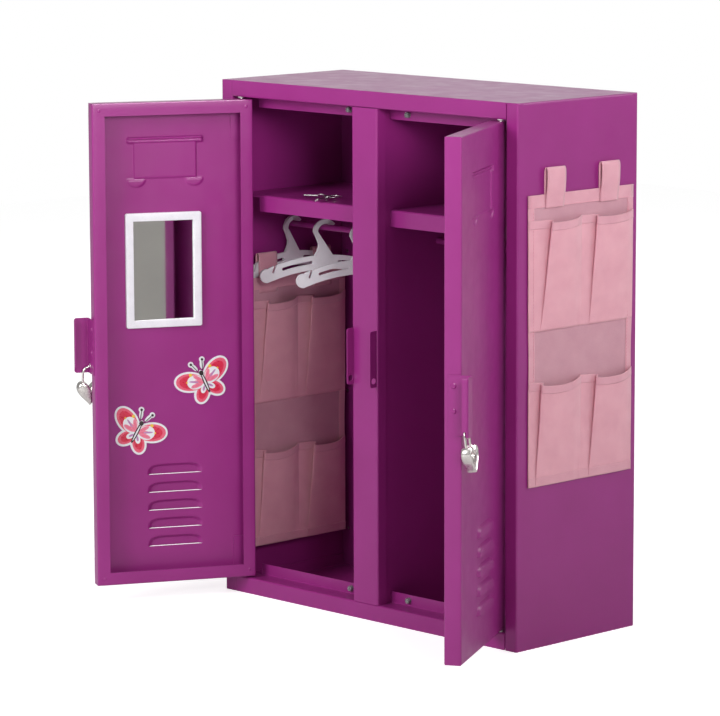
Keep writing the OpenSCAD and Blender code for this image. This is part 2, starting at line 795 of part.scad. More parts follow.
shell();
back_panel();
floor_pan();
top_rail();
bottom_rail();
centre_post();
divider();
shelf_left();
shelf_right();
rod_left();
rod_right();
strike_plates();
door_bumpers();
back_rivets();
pivot_bushes();
door_left();
hinge_brackets_left();
pivot_pins_left();
hasp_left();
hasp_rivets_left();
mirror_frame();
mirror_glass();
butterfly_red();
butterfly_pink();
door_right();
hinge_brackets_right();
pivot_pins_right();
hasp_right();
hasp_rivets_right();
shackle_left();
lock_case_left();
key_plug_left();
shackle_right();
lock_case_right();
key_plug_right();
hanger_wall();
hanger_middle();
hanger_inner();
organizer_inside();
inside_pockets_upper();
inside_pockets_lower();
organizer_outside();
outside_pockets_upper();
outside_pockets_lower();
strap_magnets();
key_ring();
keys();
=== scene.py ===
import json
import logging
import math
from dataclasses import dataclass
from enum import Enum

import bmesh
import bpy
import numpy as np
from mathutils import Matrix, Vector


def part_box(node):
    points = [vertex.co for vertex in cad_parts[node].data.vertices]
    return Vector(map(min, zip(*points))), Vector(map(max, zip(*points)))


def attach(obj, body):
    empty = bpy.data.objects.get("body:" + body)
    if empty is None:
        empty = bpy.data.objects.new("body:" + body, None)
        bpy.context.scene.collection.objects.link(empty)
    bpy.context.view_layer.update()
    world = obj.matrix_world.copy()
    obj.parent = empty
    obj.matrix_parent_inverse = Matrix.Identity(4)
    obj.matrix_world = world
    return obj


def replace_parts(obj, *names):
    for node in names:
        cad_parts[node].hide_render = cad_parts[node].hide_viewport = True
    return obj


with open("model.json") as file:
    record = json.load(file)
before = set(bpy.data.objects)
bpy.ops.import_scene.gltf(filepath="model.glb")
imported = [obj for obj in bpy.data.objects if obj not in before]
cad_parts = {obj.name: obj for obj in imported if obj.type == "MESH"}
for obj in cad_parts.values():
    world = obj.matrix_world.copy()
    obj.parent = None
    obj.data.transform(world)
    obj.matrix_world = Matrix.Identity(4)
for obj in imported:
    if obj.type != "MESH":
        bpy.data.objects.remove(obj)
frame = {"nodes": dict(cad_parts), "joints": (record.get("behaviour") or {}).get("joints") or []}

LOG = logging.getLogger("locker")
MM = 0.001
JOIN = 0.01
NO_LENGTH = 0.0001
SLIT_STEP = 0.8
STITCH_MARGIN, STITCH_STEP, STITCH_RADIUS, STITCH_HALF = 1.5, 3.2, 0.26, 1.1
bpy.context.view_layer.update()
OUT_IS_X = Matrix(((0, 1, 0, 0), (1, 0, 0, 0), (0, 0, 1, 0), (0, 0, 0, 1)))
Colour = tuple[float, float, float]
Point = tuple[float, float, float]


# ---- meshes -----------------------------------------------------------------


def smooth_step(t: np.ndarray) -> np.ndarray:
    """A soft step: 3 t squared less 2 t cubed, held at 0 below 0 and at 1 above 1."""
    t = np.clip(t, 0.0, 1.0)
    return t * t * (3.0 - 2.0 * t)


def through(points: np.ndarray, samples: int) -> np.ndarray:
    """A smooth line through a few points.

    Each stretch is a Catmull-Rom cubic, whose slope at a point is half of the
    step from the point before to the point after.

    Args:
        points: the points that the line passes, one to a row.
        samples: number of points on the result.

    Returns:
        The line's points, one to a row.
    """
    ends = np.vstack([2 * points[:1] - points[1:2], points, 2 * points[-1:] - points[-2:-1]])
    s = np.linspace(0, len(points) - 1 - 1e-9, samples)
    k = s.astype(int)
    t = (s - k)[:, None]
    a, b, c, d = ends[k], ends[k + 1], ends[k + 2], ends[k + 3]
    square, cube = (2 * a - 5 * b + 4 * c - d) * t**2, (3 * b - a - 3 * c + d) * t**3
    return 0.5 * (2 * b + (c - a) * t + square + cube)


def lengths_along(line: np.ndarray) -> np.ndarray:
    """The distance along a line from its first point to each of its points."""
    return np.concatenate([[0], np.cumsum(np.linalg.norm(np.diff(line, axis=0), axis=1))])


def in_plane(flat: np.ndarray, level: np.ndarray | float) -> np.ndarray:
    """Puts points drawn in X and Z at their own Y.

    Args:
        flat: the drawn points, any shape by 2.
        level: their Y, of a shape that fits the points' own.

    Returns:
        The points, any shape by 3.
    """
    return np.stack([flat[..., 0], np.broadcast_to(level, flat.shape[:-1]), flat[..., 1]], -1)


class Skin:
    """Gathers grids of points, in millimetres, and makes one mesh of them."""

    def __init__(self) -> None:
        """Starts with nothing."""
        self.points: list[np.ndarray] = []
        self.quads: list[np.ndarray] = []
        self.uvs: list[np.ndarray] = []
        self.total = 0

    def grid(self, points: np.ndarray, uv: np.ndarray | None = None, wrap: bool = False,
             keep: np.ndarray | None = None) -> "Skin":
        """Adds a surface given as a grid.

        Args:
            points: an array of n by m by 3.
            uv: an array of n by m by 2 in millimetres along the surface, or None.
            wrap: joins the last column to the first.
            keep: an n-1 by m-1 array of the squares that exist, or None for all.

        Returns:
            The skin itself.
        """
        n, m = points.shape[:2]
        i = np.arange(n - 1)[:, None]
        j = np.arange(m if wrap else m - 1)[None, :]
        j1 = (j + 1) % m
        quads = np.stack([i * m + j, (i + 1) * m + j, (i + 1) * m + j1, i * m + j1], -1)
        if keep is not None:
            quads = quads[keep]
        if uv is None:
            uv = np.stack(np.meshgrid(np.arange(n), np.arange(m), indexing="ij"), -1).astype(float)
        self.points.append(points.reshape(-1, 3))
        self.quads.append(quads.reshape(-1, 4) + self.total)
        self.uvs.append(uv.reshape(-1, 2))
        self.total += n * m
        return self

    def add(self, other: "Skin") -> None:
        """Takes over all the grids of another skin.

        Args:
            other: the other skin.
        """
        self.points += other.points
        self.quads += [quads + self.total for quads in other.quads]
        self.uvs += other.uvs
        self.total += other.total

    def build(self, name: str, sharp: float = 35.0, closed: bool = False) -> bpy.types.Object:
        """Makes the mesh, with points less than a hundredth of a millimetre apart joined.

        Args:
            name: the object's name.
            sharp: the angle in degrees past which an edge stays sharp.
            closed: turns the faces outwards, for a closed shape.

        Returns:
            The new object, in metres.
        """
        points = np.concatenate(self.points) * MM
        quads = np.concatenate(self.quads)
        uv = np.concatenate(self.uvs)
        mesh = bpy.data.meshes.new(name)
        mesh.from_pydata(points.tolist(), [], quads.tolist())
        layer = mesh.uv_layers.new(name="UVMap")
        layer.data.foreach_set("uv", uv[quads.ravel()].astype(np.float32).ravel())
        tidy = bmesh.new()
        tidy.from_mesh(mesh)
        bmesh.ops.remove_doubles(tidy, verts=tidy.verts, dist=JOIN * MM)
        bmesh.ops.dissolve_degenerate(tidy, edges=tidy.edges, dist=NO_LENGTH * MM)
        if closed:
            bmesh.ops.recalc_face_normals(tidy, faces=tidy.faces)
        tidy.to_mesh(mesh)
        tidy.free()
        mesh.shade_smooth()
        mesh.set_sharp_from_angle(angle=math.radians(sharp))
        piece = bpy.data.objects.new(name, mesh)
        bpy.context.scene.collection.objects.link(piece)
        return piece


def move(piece: bpy.types.Object, matrix: Matrix) -> bpy.types.Object:
    """Applies a matrix to a mesh, turning its faces back where the matrix mirrors.

    Args:
        piece: the piece.
        matrix: where the mesh goes.

    Returns:
        The piece, its object still at the origin.
    """
    piece.data.transform(matrix)
    if matrix.determinant() < 0:
        piece.data.flip_normals()
    return piece


def thicken(piece: bpy.types.Object, thickness: float, offset: float = 0.0) -> bpy.types.Object:
    """Gives a sheet its thickness with a live modifier.

    Args:
        piece: the sheet.
        thickness: in millimetres.
        offset: 0 for half to each side, -1 or 1 for all to one side.

    Returns:
        The piece.
    """
    solid = piece.modifiers.new("Thickness", "SOLIDIFY")
    solid.thickness = thickness * MM
    solid.offset = offset
    solid.use_rim = True
    return piece


def made_solid(piece: bpy.types.Object, thickness: float, sharp: float = 35.0) -> bpy.types.Object:
    """Gives a sheet its thickness for good, so that its cut edges can be kept sharp.

    Args:
        piece: the sheet.
        thickness: in millimetres, half to each side.
        sharp: the angle in degrees past which an edge stays sharp.

    Returns:
        The piece, without a modifier.
    """
    thicken(piece, thickness)
    bpy.context.view_layer.update()
    seen = piece.evaluated_get(bpy.context.evaluated_depsgraph_get())
    mesh = bpy.data.meshes.new_from_object(seen)
    piece.modifiers.clear()
    piece.data = mesh
    mesh.shade_smooth()
    mesh.set_sharp_from_angle(angle=math.radians(sharp))
    return piece


def drawn(outline: np.ndarray, low: float, high: float, crown: float = 0.0, rings: int = 2) -> Skin:
    """A flat shape with a thickness, drawn in X and Z and closed all round.

    Each layer is the outline shrunk towards its middle: a ring at share r of the
    outline stands at the layer's height, and the top layer is raised by crown
    times one minus r squared.

    Args:
        outline: the outline's points, n by 2.
        low: Y of the front side.
        high: Y of the back side.
        crown: how much the back side is domed.
        rings: number of rings from the edge to the middle.

    Returns:
        A skin with both sides and the edge between them.
    """
    middle = outline.mean(0)
    share = np.linspace(1, 0, rings + 1)
    flat = middle + (outline - middle)[None] * share[:, None, None]
    height = high + crown * (1 - share**2)
    top = in_plane(flat, height[:, None])
    bottom = in_plane(flat, low)
    edge = np.stack([bottom[0], top[0]])
    return Skin().grid(top, wrap=True).grid(bottom, wrap=True).grid(edge, wrap=True)


# ---- finishes ---------------------------------------------------------------


class Recipe:
    """Short ways to put shader nodes together."""

    def __init__(self, name: str) -> None:
        """Starts a material that holds one principled shader.

        Args:
            name: the material's name.
        """
        self.material = bpy.data.materials.new(name)
        self.material.use_nodes = True
        self.tree = self.material.node_tree
        self.tree.nodes.clear()
        self.output = self.node("ShaderNodeOutputMaterial")
        self.shader = self.node("ShaderNodeBsdfPrincipled")
        self.link(self.shader.outputs["BSDF"], self.output.inputs["Surface"])

    def node(self, kind: str, **settings: object) -> bpy.types.Node:
        """Adds a node.

        Args:
            kind: the node's type.
            settings: its properties by name.

        Returns:
            The node.
        """
        made = self.tree.nodes.new(kind)
        for key, value in settings.items():
            setattr(made, key, value)
        return made

    def link(self, source: bpy.types.NodeSocket, target: bpy.types.NodeSocket) -> None:
        """Joins two sockets."""
        self.tree.links.new(source, target)

    def set(self, **values: object) -> None:
        """Sets the shader's own sockets, with underscores for spaces."""
        for key, value in values.items():
            self.shader.inputs[key.replace("_", " ")].default_value = value

    def place(self, uv: bool = False) -> bpy.types.NodeSocket:
        """Returns the place on the piece: its own space, or its surface in millimetres."""
        return self.node("ShaderNodeTexCoord").outputs["UV" if uv else "Object"]

    def noise(self, at: bpy.types.NodeSocket, scale: float, detail: float = 2.0) -> bpy.types.NodeSocket:
        """Adds a cloudy pattern.

        Args:
            at: the place on the piece.
            scale: clouds to a unit of length.
            detail: number of finer layers.

        Returns:
            The pattern, about 0.3 to 0.7.
        """
        made = self.node("ShaderNodeTexNoise")
        made.inputs["Scale"].default_value = scale
        made.inputs["Detail"].default_value = detail
        self.link(at, made.inputs["Vector"])
        return made.outputs["Fac"]

    def spread(self, value: bpy.types.NodeSocket, low: float, high: float,
               start: float = 0.3, end: float = 0.7) -> bpy.types.NodeSocket:
        """Stretches a value.

        Args:
            value: the value.
            low: the result where the value is start.
            high: the result where the value is end.
            start: the value's lower end.
            end: the value's upper end.

        Returns:
            The stretched value, held between low and high.
        """
        made = self.node("ShaderNodeMapRange")
        made.inputs["From Min"].default_value = start
        made.inputs["From Max"].default_value = end
        made.inputs["To Min"].default_value = low
        made.inputs["To Max"].default_value = high
        self.link(value, made.inputs["Value"])
        return made.outputs["Result"]

    def blend(self, share: bpy.types.NodeSocket, a: Colour, b: Colour) -> bpy.types.NodeSocket:
        """Mixes two colours.

        Args:
            share: 0 for the first colour and 1 for the second.
            a: the first colour.
            b: the second colour.

        Returns:
            The mixed colour.
        """
        made = self.node("ShaderNodeMix", data_type="RGBA")
        first, second = (next(i for i in made.inputs if i.identifier == f"{end}_Color") for end in "AB")
        first.default_value = (*a, 1)
        second.default_value = (*b, 1)
        self.link(share, made.inputs["Factor"])
        return next(o for o in made.outputs if o.identifier == "Result_Color")

    def tint(self, share: bpy.types.NodeSocket, a: Colour, b: Colour) -> None:
        """Colours the surface with a mix of two colours."""
        self.link(self.blend(share, a, b), self.shader.inputs["Base Color"])

    def gloss(self, value: bpy.types.NodeSocket) -> None:
        """Takes the surface's roughness from a value."""
        self.link(value, self.shader.inputs["Roughness"])

    def bump(self, height: bpy.types.NodeSocket, distance: float, strength: float = 1.0) -> None:
        """Gives the surface a relief.

        Args:
            height: the height pattern.
            distance: the relief's depth in millimetres.
            strength: how much of it shows.
        """
        made = self.node("ShaderNodeBump")
        made.inputs["Strength"].default_value = strength
        made.inputs["Distance"].default_value = distance * MM
        self.link(height, made.inputs["Height"])
        self.link(made.outputs["Normal"], self.shader.inputs["Normal"])


@dataclass(frozen=True)
class Enamel:
    """Baked enamel on sheet metal: a soft gloss with a fine orange peel."""

    name: str = "purple_enamel"
    colour: Colour = (0.315, 0.024, 0.215)
    shade: Colour = (0.285, 0.020, 0.19)
    roughness: float = 0.34
    clouds: float = 14.0
    dulling: float = 60.0
    peel: float = 520.0

    def material(self) -> bpy.types.Material:
        """The enamel: two close shades in clouds, an uneven gloss and an orange peel.

        Returns:
            The material.
        """
        r = Recipe(self.name)
        at = r.place()
        r.tint(r.spread(r.noise(at, self.clouds, 3), 0, 1), self.colour, self.shade)
        r.gloss(r.spread(r.noise(at, self.dulling, 4), self.roughness - 0.04, self.roughness + 0.05))
        r.set(Coat_Weight=0.08, Coat_Roughness=0.2, IOR=1.45)
        r.bump(r.noise(at, self.peel, 2), 0.02, 0.35)
        return r.material


@dataclass(frozen=True)
class BareMetal:
    """Uncoated metal with fine scratches."""

    name: str
    colour: Colour
    roughness: float
    scratch: float = 0.3
    clouds: float = 160.0
    lines: float = 2600.0
    stretch: float = 0.12

    def material(self) -> bpy.types.Material:
        """The metal: faint clouds, and fine scratches drawn out along Z.

        Returns:
            The material.
        """
        r = Recipe(self.name)
        at = r.place()
        stretch = r.node("ShaderNodeMapping")
        stretch.inputs["Scale"].default_value = (1, 1, self.stretch)
        r.link(at, stretch.inputs["Vector"])
        lines = r.noise(stretch.outputs["Vector"], self.lines, 3)
        darker = tuple(0.82 * c for c in self.colour)
        r.tint(r.spread(r.noise(at, self.clouds, 4), 0, 1), self.colour, darker)
        r.gloss(r.spread(lines, self.roughness * 0.8, self.roughness * 1.35))
        r.set(Metallic=1.0)
        r.bump(lines, 0.01, self.scratch)
        return r.material


@dataclass(frozen=True)
class Moulded:
    """Moulded plastic or rubber, with a faint flow pattern."""

    name: str
    colour: Colour
    roughness: float = 0.38
    clear: float = 0.0
    glow: float = 0.08
    clouds: float = 90.0
    dulling: float = 700.0
    grain: float = 900.0

    def material(self) -> bpy.types.Material:
        """The plastic: faint clouds, a fine uneven gloss and a fine grain.

        Returns:
            The material.
        """
        r = Recipe(self.name)
        at = r.place()
        darker = tuple(0.93 * c for c in self.colour)
        r.tint(r.spread(r.noise(at, self.clouds, 3), 0, 1), self.colour, darker)
        r.gloss(r.spread(r.noise(at, self.dulling, 3), self.roughness - 0.06, self.roughness + 0.08))
        r.set(Transmission_Weight=self.clear, Subsurface_Weight=self.glow,
              Subsurface_Radius=(0.002, 0.0015, 0.0015))
        r.bump(r.noise(at, self.grain, 2), 0.01, 0.3)
        return r.material


@dataclass(frozen=True)
class SilveredGlass:
    """A small mirror, with the slight haze of a plastic one."""

    name: str = "mirror_glass"
    colour: Colour = (0.74, 0.75, 0.74)
    shade: Colour = (0.70, 0.71, 0.71)
    clouds: float = 40.0
    haze: float = 25.0

    def material(self) -> bpy.types.Material:
        """The mirror: bright metal with a faint uneven haze.

        Returns:
            The material.
        """
        r = Recipe(self.name)
        at = r.place()
        r.tint(r.spread(r.noise(at, self.clouds, 2), 0, 1), self.colour, self.shade)
        r.gloss(r.spread(r.noise(at, self.haze, 3), 0.015, 0.04))
        r.set(Metallic=1.0)
        return r.material


@dataclass(frozen=True)
class PressedCloth:
    """Thin cloth of pressed fibres, with a grid of small welded dots. One layer is partly see-through."""

    name: str
    colour: Colour = (0.84, 0.42, 0.50)
    shade: Colour = (0.78, 0.37, 0.45)
    cover: float = 0.86
    dot: float = 1.3
    fibres: float = 2.6
    clouds: float = 0.05

    def material(self) -> bpy.types.Material:
        """The cloth: welded dots on a grid that follows it, among fibres of uneven cover.

        Returns:
            The material.
        """
        r = Recipe(self.name)
        at = r.place(uv=True)
        dots = r.node("ShaderNodeTexVoronoi", feature="F1")
        dots.inputs["Scale"].default_value = 1 / self.dot
        dots.inputs["Randomness"].default_value = 0.25
        r.link(at, dots.inputs["Vector"])
        press = r.spread(dots.outputs["Distance"], 0, 1, 0.12, 0.42)
        fibre = r.noise(at, self.fibres, 5)
        r.tint(r.spread(r.noise(at, self.clouds, 3), 0, 1), self.colour, self.shade)
        both = r.node("ShaderNodeMath", operation="MULTIPLY_ADD")
        both.inputs[1].default_value = 0.6
        r.link(fibre, both.inputs[0])
        r.link(press, both.inputs[2])
        r.link(r.spread(fibre, self.cover - 0.12, min(1.0, self.cover + 0.1)), r.shader.inputs["Alpha"])
        r.set(Roughness=0.88, Sheen_Weight=0.25, Sheen_Roughness=0.5, Subsurface_Weight=0.15,
              Subsurface_Radius=(0.003, 0.002, 0.002))
        r.bump(both.outputs[0], 0.12, 0.55)
        return r.material


@dataclass(frozen=True)
class Print:
    """Glossy printed film on a flexible magnet: a colour that fades towards its rim."""

    name: str
    middle: Colour
    rim: Colour
    dulling: float = 500.0

    def material(self) -> bpy.types.Material:
        """The film. Its first surface value is 0 at the edge and grows inwards.

        Returns:
            The material.
        """
        r = Recipe(self.name)
        split = r.node("ShaderNodeSeparateXYZ")
        r.link(r.place(uv=True), split.inputs["Vector"])
        r.tint(r.spread(split.outputs["X"], 0, 1, 0.2, 3.2), self.rim, self.middle)
        r.gloss(r.spread(r.noise(r.place(), self.dulling, 3), 0.24, 0.36))
        r.set(Coat_Weight=0.4, Coat_Roughness=0.12)
        return r.material


class Finish(Enum):
    """The finishes on this locker, and the record's slot that each one stands for."""

    ENAMEL = ("purple paint", Enamel())
    STEEL = ("bright steel", BareMetal("bright_steel", (0.62, 0.61, 0.60), 0.28))
    CHROME = ("chrome", BareMetal("bright_chrome", (0.80, 0.76, 0.73), 0.24, 0.15))
    HANGER = ("white plastic", Moulded("white_plastic", (0.80, 0.78, 0.82), 0.42, glow=0.15))
    MIRROR_FRAME = ("white plastic", Moulded("mirror_plastic", (0.85, 0.84, 0.89), 0.3))
    NYLON = ("white nylon", Moulded("white_nylon", (0.78, 0.77, 0.74), 0.5))
    RUBBER = ("clear rubber", Moulded("clear_rubber", (0.88, 0.88, 0.90), 0.12, clear=0.75, glow=0.0))
    MIRROR = ("mirror", SilveredGlass())
    CLOTH = ("pink cloth", PressedCloth("pink_cloth", cover=0.93))
    SHEER = ("pink cloth", PressedCloth("pink_cloth_single", (0.72, 0.38, 0.46), (0.66, 0.33, 0.41), 0.80))
    HEM = ("pink cloth", PressedCloth("pink_cloth_double", (0.78, 0.39, 0.47), (0.72, 0.34, 0.42), 0.97))
    THREAD = ("pink cloth", Moulded("pink_thread", (0.80, 0.33, 0.43), 0.7))
    WHITE_FILM = ("printed magnet", Print("white_film", (0.86, 0.87, 0.88), (0.80, 0.82, 0.84)))
    ROSE_FILM = ("printed magnet", Print("rose_film", (0.72, 0.05, 0.11), (0.78, 0.12, 0.20)))
    RED_FILM = ("printed magnet", Print("red_film", (0.62, 0.012, 0.045), (0.68, 0.02, 0.07)))
    PINK_FILM = ("printed magnet", Print("pink_film", (0.80, 0.16, 0.26), (0.82, 0.24, 0.34)))
    LILAC_FILM = ("printed magnet", Print("lilac_film", (0.46, 0.20, 0.44), (0.55, 0.30, 0.52)))
    YELLOW_FILM = ("printed magnet", Print("yellow_film", (0.84, 0.60, 0.05), (0.80, 0.52, 0.04)))
    BLACK_FILM = ("printed magnet", Print("black_film", (0.02, 0.015, 0.015), (0.03, 0.02, 0.02)))
    MAGNET = ("magnet", BareMetal("magnet_metal", (0.22, 0.22, 0.23), 0.5))

    @property
    def slot(self) -> str:
        """The record's material slot."""
        return self.value[0]

    def material(self) -> bpy.types.Material:
        """Returns the finish's material, made once."""
        recipe = self.value[1]
        return bpy.data.materials.get(recipe.name) or recipe.material()


# ---- placing ----------------------------------------------------------------


def fit(piece: bpy.types.Object, finish: Finish, body: str, *nodes: str) -> bpy.types.Object:
    """Dresses a finished piece, makes it move with a body and reports it.

    Args:
        piece: the piece, in its place.
        finish: its finish.
        body: the body it moves with.
        nodes: the plain CAD nodes that it stands for.

    Returns:
        The piece.
    """
    piece.data.materials.clear()
    piece.data.materials.append(finish.material())
    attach(piece, body)
    if nodes:
        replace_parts(piece, *nodes)
    LOG.info("%s: %d faces on %s", piece.name, len(piece.data.polygons), body)
    return piece


def dress(finish: Finish, *nodes: str) -> None:
    """Gives CAD nodes their finish.

    Args:
        finish: the finish.
        nodes: the nodes' names.
    """
    for name in nodes:
        node = frame["nodes"][name]
        node.data.materials.clear()
        node.data.materials.append(finish.material())


class Side(Enum):
    """The two doors, by the side their hinge is on."""

    LEFT = -1
    RIGHT = 1

    @property
    def word(self) -> str:
        """The side's name in lower case."""
        return self.name.lower()


@dataclass
class DoorPlace:
    """Where a door stands, and how to bring points from the shut door to it."""

    side: Side

    def __post_init__(self) -> None:
        """Reads the hinge from the frame and measures the shut door."""
        joint = next(j for j in frame["joints"] if j["child"] == self.body)
        pivot = Matrix.Translation(Vector(joint["pos_m"]))
        turn = Matrix.Rotation(math.radians(-joint["range_deg"][0]), 4, Vector(joint["axis"]))
        self.swing = pivot @ turn @ pivot.inverted()
        self.low, self.high = self.shut_box(f"door_{self.side.word}")

    @property
    def body(self) -> str:
        """The door's body."""
        return f"{self.side.word}_door"

    def shut_box(self, node: str) -> tuple[Vector, Vector]:
        """Measures a node as it lies with the door shut.

        Args:
            node: the CAD node's name.

        Returns:
            Its lowest and highest corners, in metres.
        """
        mesh = frame["nodes"][node].data
        points = np.empty(len(mesh.vertices) * 3, np.float32)
        mesh.vertices.foreach_get("co", points)
        back = np.array(self.swing.inverted())
        points = points.reshape(-1, 3) @ back[:3, :3].T + back[:3, 3]
        return Vector(points.min(0)), Vector(points.max(0))

    def to_row(self) -> Matrix:
        """The way from the door's own frame to where it stands.

        In its own frame X runs from the hinge edge, Y from the face and Z from the bottom.

        Returns:
            The matrix.
        """
        across = -self.side.value
        edge = self.low.x if across > 0 else self.high.x
        corner = Matrix.Translation((edge, self.front, self.low.z))
        return self.swing @ corner @ Matrix.Diagonal((across, 1, 1, 1))

    @property
    def front(self) -> float:
        """Y of the door's face, louvres aside, from its back."""
        return self.high.y - DoorPan.depth * MM


# ---- doors ------------------------------------------------------------------


@dataclass
class DoorPan:
    """A door pressed from one sheet: turned edges, a card holder and a row of louvres."""

    place: DoorPlace
    depth: float = 16.0
    sheet: float = 1.0
    bend: float = 1.5
    turn_in: float = 12.5
    card_drop: float = 58.7
    card_shift: float = 4.5
    card: tuple[float, float] = (75.0, 47.0)
    card_step: float = 1.15
    card_cut: float = 6.5
    card_ears: float = 5.5
    card_feet: float = 8.6
    ridge_high: float = 1.2
    ridge_wide: float = 0.8
    louvres: int = 5
    louvre: tuple[float, float] = (56.0, 10.5)
    louvre_shift: float = -2.3
    louvre_up: float = 33.4
    louvre_pitch: float = 17.9
    louvre_out: float = 3.0
    weld: float = 1.9
    weld_in: float = 0.55

    def __post_init__(self) -> None:
        """Takes the door's width and height from its place."""
        self.wide = (self.place.high.x - self.place.low.x) / MM
        self.tall = (self.place.high.z - self.place.low.z) / MM

    def card_depth(self, x: np.ndarray, z: np.ndarray) -> np.ndarray:
        """How far the card holder's plate is pressed in, in millimetres.

        The plate is the greatest of a waist, a wide top and two round feet, each a
        product of soft steps. Two bell-shaped ridges run along its top.

        Args:
            x: distance from the holder's middle across the door.
            z: height from the holder's middle.

        Returns:
            The depth at each point.
        """
        half_w, half_h = self.card[0] / 2, self.card[1] / 2

        def rise(t: np.ndarray, soft: float = 0.55) -> np.ndarray:
            """A soft step of the given width, half way up at 0."""
            return smooth_step(t / soft + 0.5)

        def bell(drop: float) -> np.ndarray:
            """A bell-shaped ridge at a drop below the holder's top."""
            return np.exp(-(((z - half_h + drop) / self.ridge_wide) ** 2))

        side, foot = np.abs(x), self.card_feet
        waist = rise(half_w - self.card_cut - side) * rise(z + half_h - 7.5, 2.0)
        ears = rise(half_w - side, 1.6) * rise(z - half_h + self.card_ears, 2.0)
        round_foot = foot - np.hypot(side - half_w + foot, (z + half_h - 6.0) * 1.25)
        feet = rise(round_foot, 2.2) * rise(6 - half_h - z, 3)
        plate = self.card_step * np.maximum(np.maximum(waist, ears), feet) * rise(half_h - z, 0.7)
        ends = rise(half_w - 0.8 - side, 1.2)
        return plate + self.ridge_high * ends * (bell(0.9) + 0.8 * bell(3.9))

    def louvre_depth(self, x: np.ndarray, z: np.ndarray) -> np.ndarray:
        """How far one louvre is pressed out: a cowl with round shoulders over a straight slit.

        Args:
            x: distance from the louvre's middle.
            z: height above its slit.

        Returns:
            The depth at each point, nothing below the slit.
        """
        inside = 1 - np.abs(2 * x / self.louvre[0]) ** 5 - np.abs(z / self.louvre[1]) ** 3
        return self.louvre_out * smooth_step(inside / 0.62) * (z > -1e-6)

    def slits(self) -> np.ndarray:
        """Heights of the louvres' slits above the door's bottom."""
        return self.louvre_up + self.louvre_pitch * np.arange(self.louvres)

    def rows(self) -> tuple[np.ndarray, np.ndarray]:
        """Heights of the face's rows, closer at the card holder and the louvres, each slit twice.

        Returns:
            The heights, and whether each row is the upper one at a slit.
        """
        b = self.bend
        middle = self.tall - self.card_drop
        parts = [np.linspace(b, self.tall - b, 46), middle + np.arange(-31, 17, 0.75),
                 middle + np.arange(17, 26, 0.3)]
        slits = self.slits()
        parts += [s + np.linspace(0.35, self.louvre[1] + 1, 13) for s in slits]
        z = np.sort(np.concatenate([np.concatenate(parts), slits, slits]))
        apart = np.concatenate([[True], np.diff(z) > 0.2]) | np.isin(z, slits)
        z = z[apart]
        upper = np.concatenate([[False], (np.diff(z) == 0)])
        return z, upper

    def columns(self) -> np.ndarray:
        """Places of the face's columns, closer in the door's middle.

        Returns:
            Their distances from the hinge edge.
        """
        reach = self.card[0] / 2 + 8
        fine = self.wide / 2 + np.linspace(-reach, reach, 130)
        near = np.linspace(self.bend, fine[0], 10)[:-1]
        far = np.linspace(fine[-1], self.wide - self.bend, 10)[1:]
        return np.concatenate([near, fine, far])

    def face(self) -> tuple[np.ndarray, np.ndarray]:
        """The door's face as a height field over X and Z.

        The face stands out by the greatest of the louvres' depths and in by the
        card holder's. A slit is open where its two rows lie apart.

        Returns:
            The grid of points, and which squares are sheet and not opening.
        """
        x, (z, upper) = self.columns(), self.rows()
        gx, gz = np.meshgrid(x, z, indexing="ij")
        from_mid = gx - self.wide / 2
        card = self.card_depth(from_mid - self.card_shift, gz - (self.tall - self.card_drop))
        out = np.zeros_like(gz)
        lift = np.zeros_like(gz)
        for s in self.slits():
            above = self.louvre_depth(from_mid - self.louvre_shift, gz - s)
            at_slit = np.abs(gz - s) < 1e-6
            out = np.maximum(out, np.where(at_slit & ~upper[None, :], 0, above))
            lift += np.where(at_slit & upper[None, :] & (above > SLIT_STEP), 0.12, 0)
        y = self.sheet / 2 - out + card
        points = np.stack([gx, y, gz + lift], -1)
        step = np.abs(np.diff(points[..., 1], axis=1))
        double = np.diff(z)[None, :] == 0
        open_slit = double & ((step[:-1] > SLIT_STEP) | (step[1:] > SLIT_STEP))
        return points, ~open_slit

    def edge(self) -> np.ndarray:
        """The turned edge: a bent profile carried round the face's outline.

        A point of the profile has an inset from the door's outer edge and a depth.
        Each ring is the outline at that inset, and points that would pass a corner
        stay at it.

        Returns:
            A grid of rings by points around.
        """
        b, t = self.bend, self.sheet / 2
        a = np.linspace(0, np.pi / 2, 6)
        front = np.stack([t + (b - t) * (1 - np.sin(a)), t + (b - t) * (1 - np.cos(a))], -1)
        back = np.stack([t + (b - t) * (1 - np.cos(a)), self.depth - b + (b - t) * np.sin(a)], -1)
        end = np.array([[self.turn_in * 0.5, self.depth - t], [self.turn_in, self.depth - t]])
        profile = np.concatenate([front, back, end])
        x, z = self.columns(), self.rows()[0]
        round_x = np.concatenate([x, np.full(len(z), x[-1]), x[::-1], np.full(len(z), x[0])])
        round_z = np.concatenate([np.full(len(x), z[0]), z, np.full(len(x), z[-1]), z[::-1]])
        inset = profile[:, :1]
        far = inset > b

        def ring(line: np.ndarray, size: float) -> np.ndarray:
            """The outline's places at each inset, along one direction.

            Args:
                line: the places of the face's outline.
                size: the door's size in that direction.

            Returns:
                The places, one row to each inset.
            """
            place = np.where(far, np.clip(line[None], inset, size - inset), line[None])
            place = np.where(line[None] >= size - b, size - inset, place)
            return np.where(line[None] <= b, inset, place)

        return in_plane(np.stack([ring(round_x, self.wide), ring(round_z, self.tall)], -1), profile[:, 1:])

    def build(self) -> bpy.types.Object:
        """Builds the door: the face and the turned edge as one sheet, made solid.

        Returns:
            The door.
        """
        face, sheet = self.face()
        skin = Skin().grid(face, keep=sheet).grid(self.edge(), wrap=True)
        pan = move(skin.build(f"door_pan_{self.place.side.word}", sharp=50), self.place.to_row())
        made_solid(pan, self.sheet)
        return fit(pan, Finish.ENAMEL, self.place.body, f"door_{self.place.side.word}")

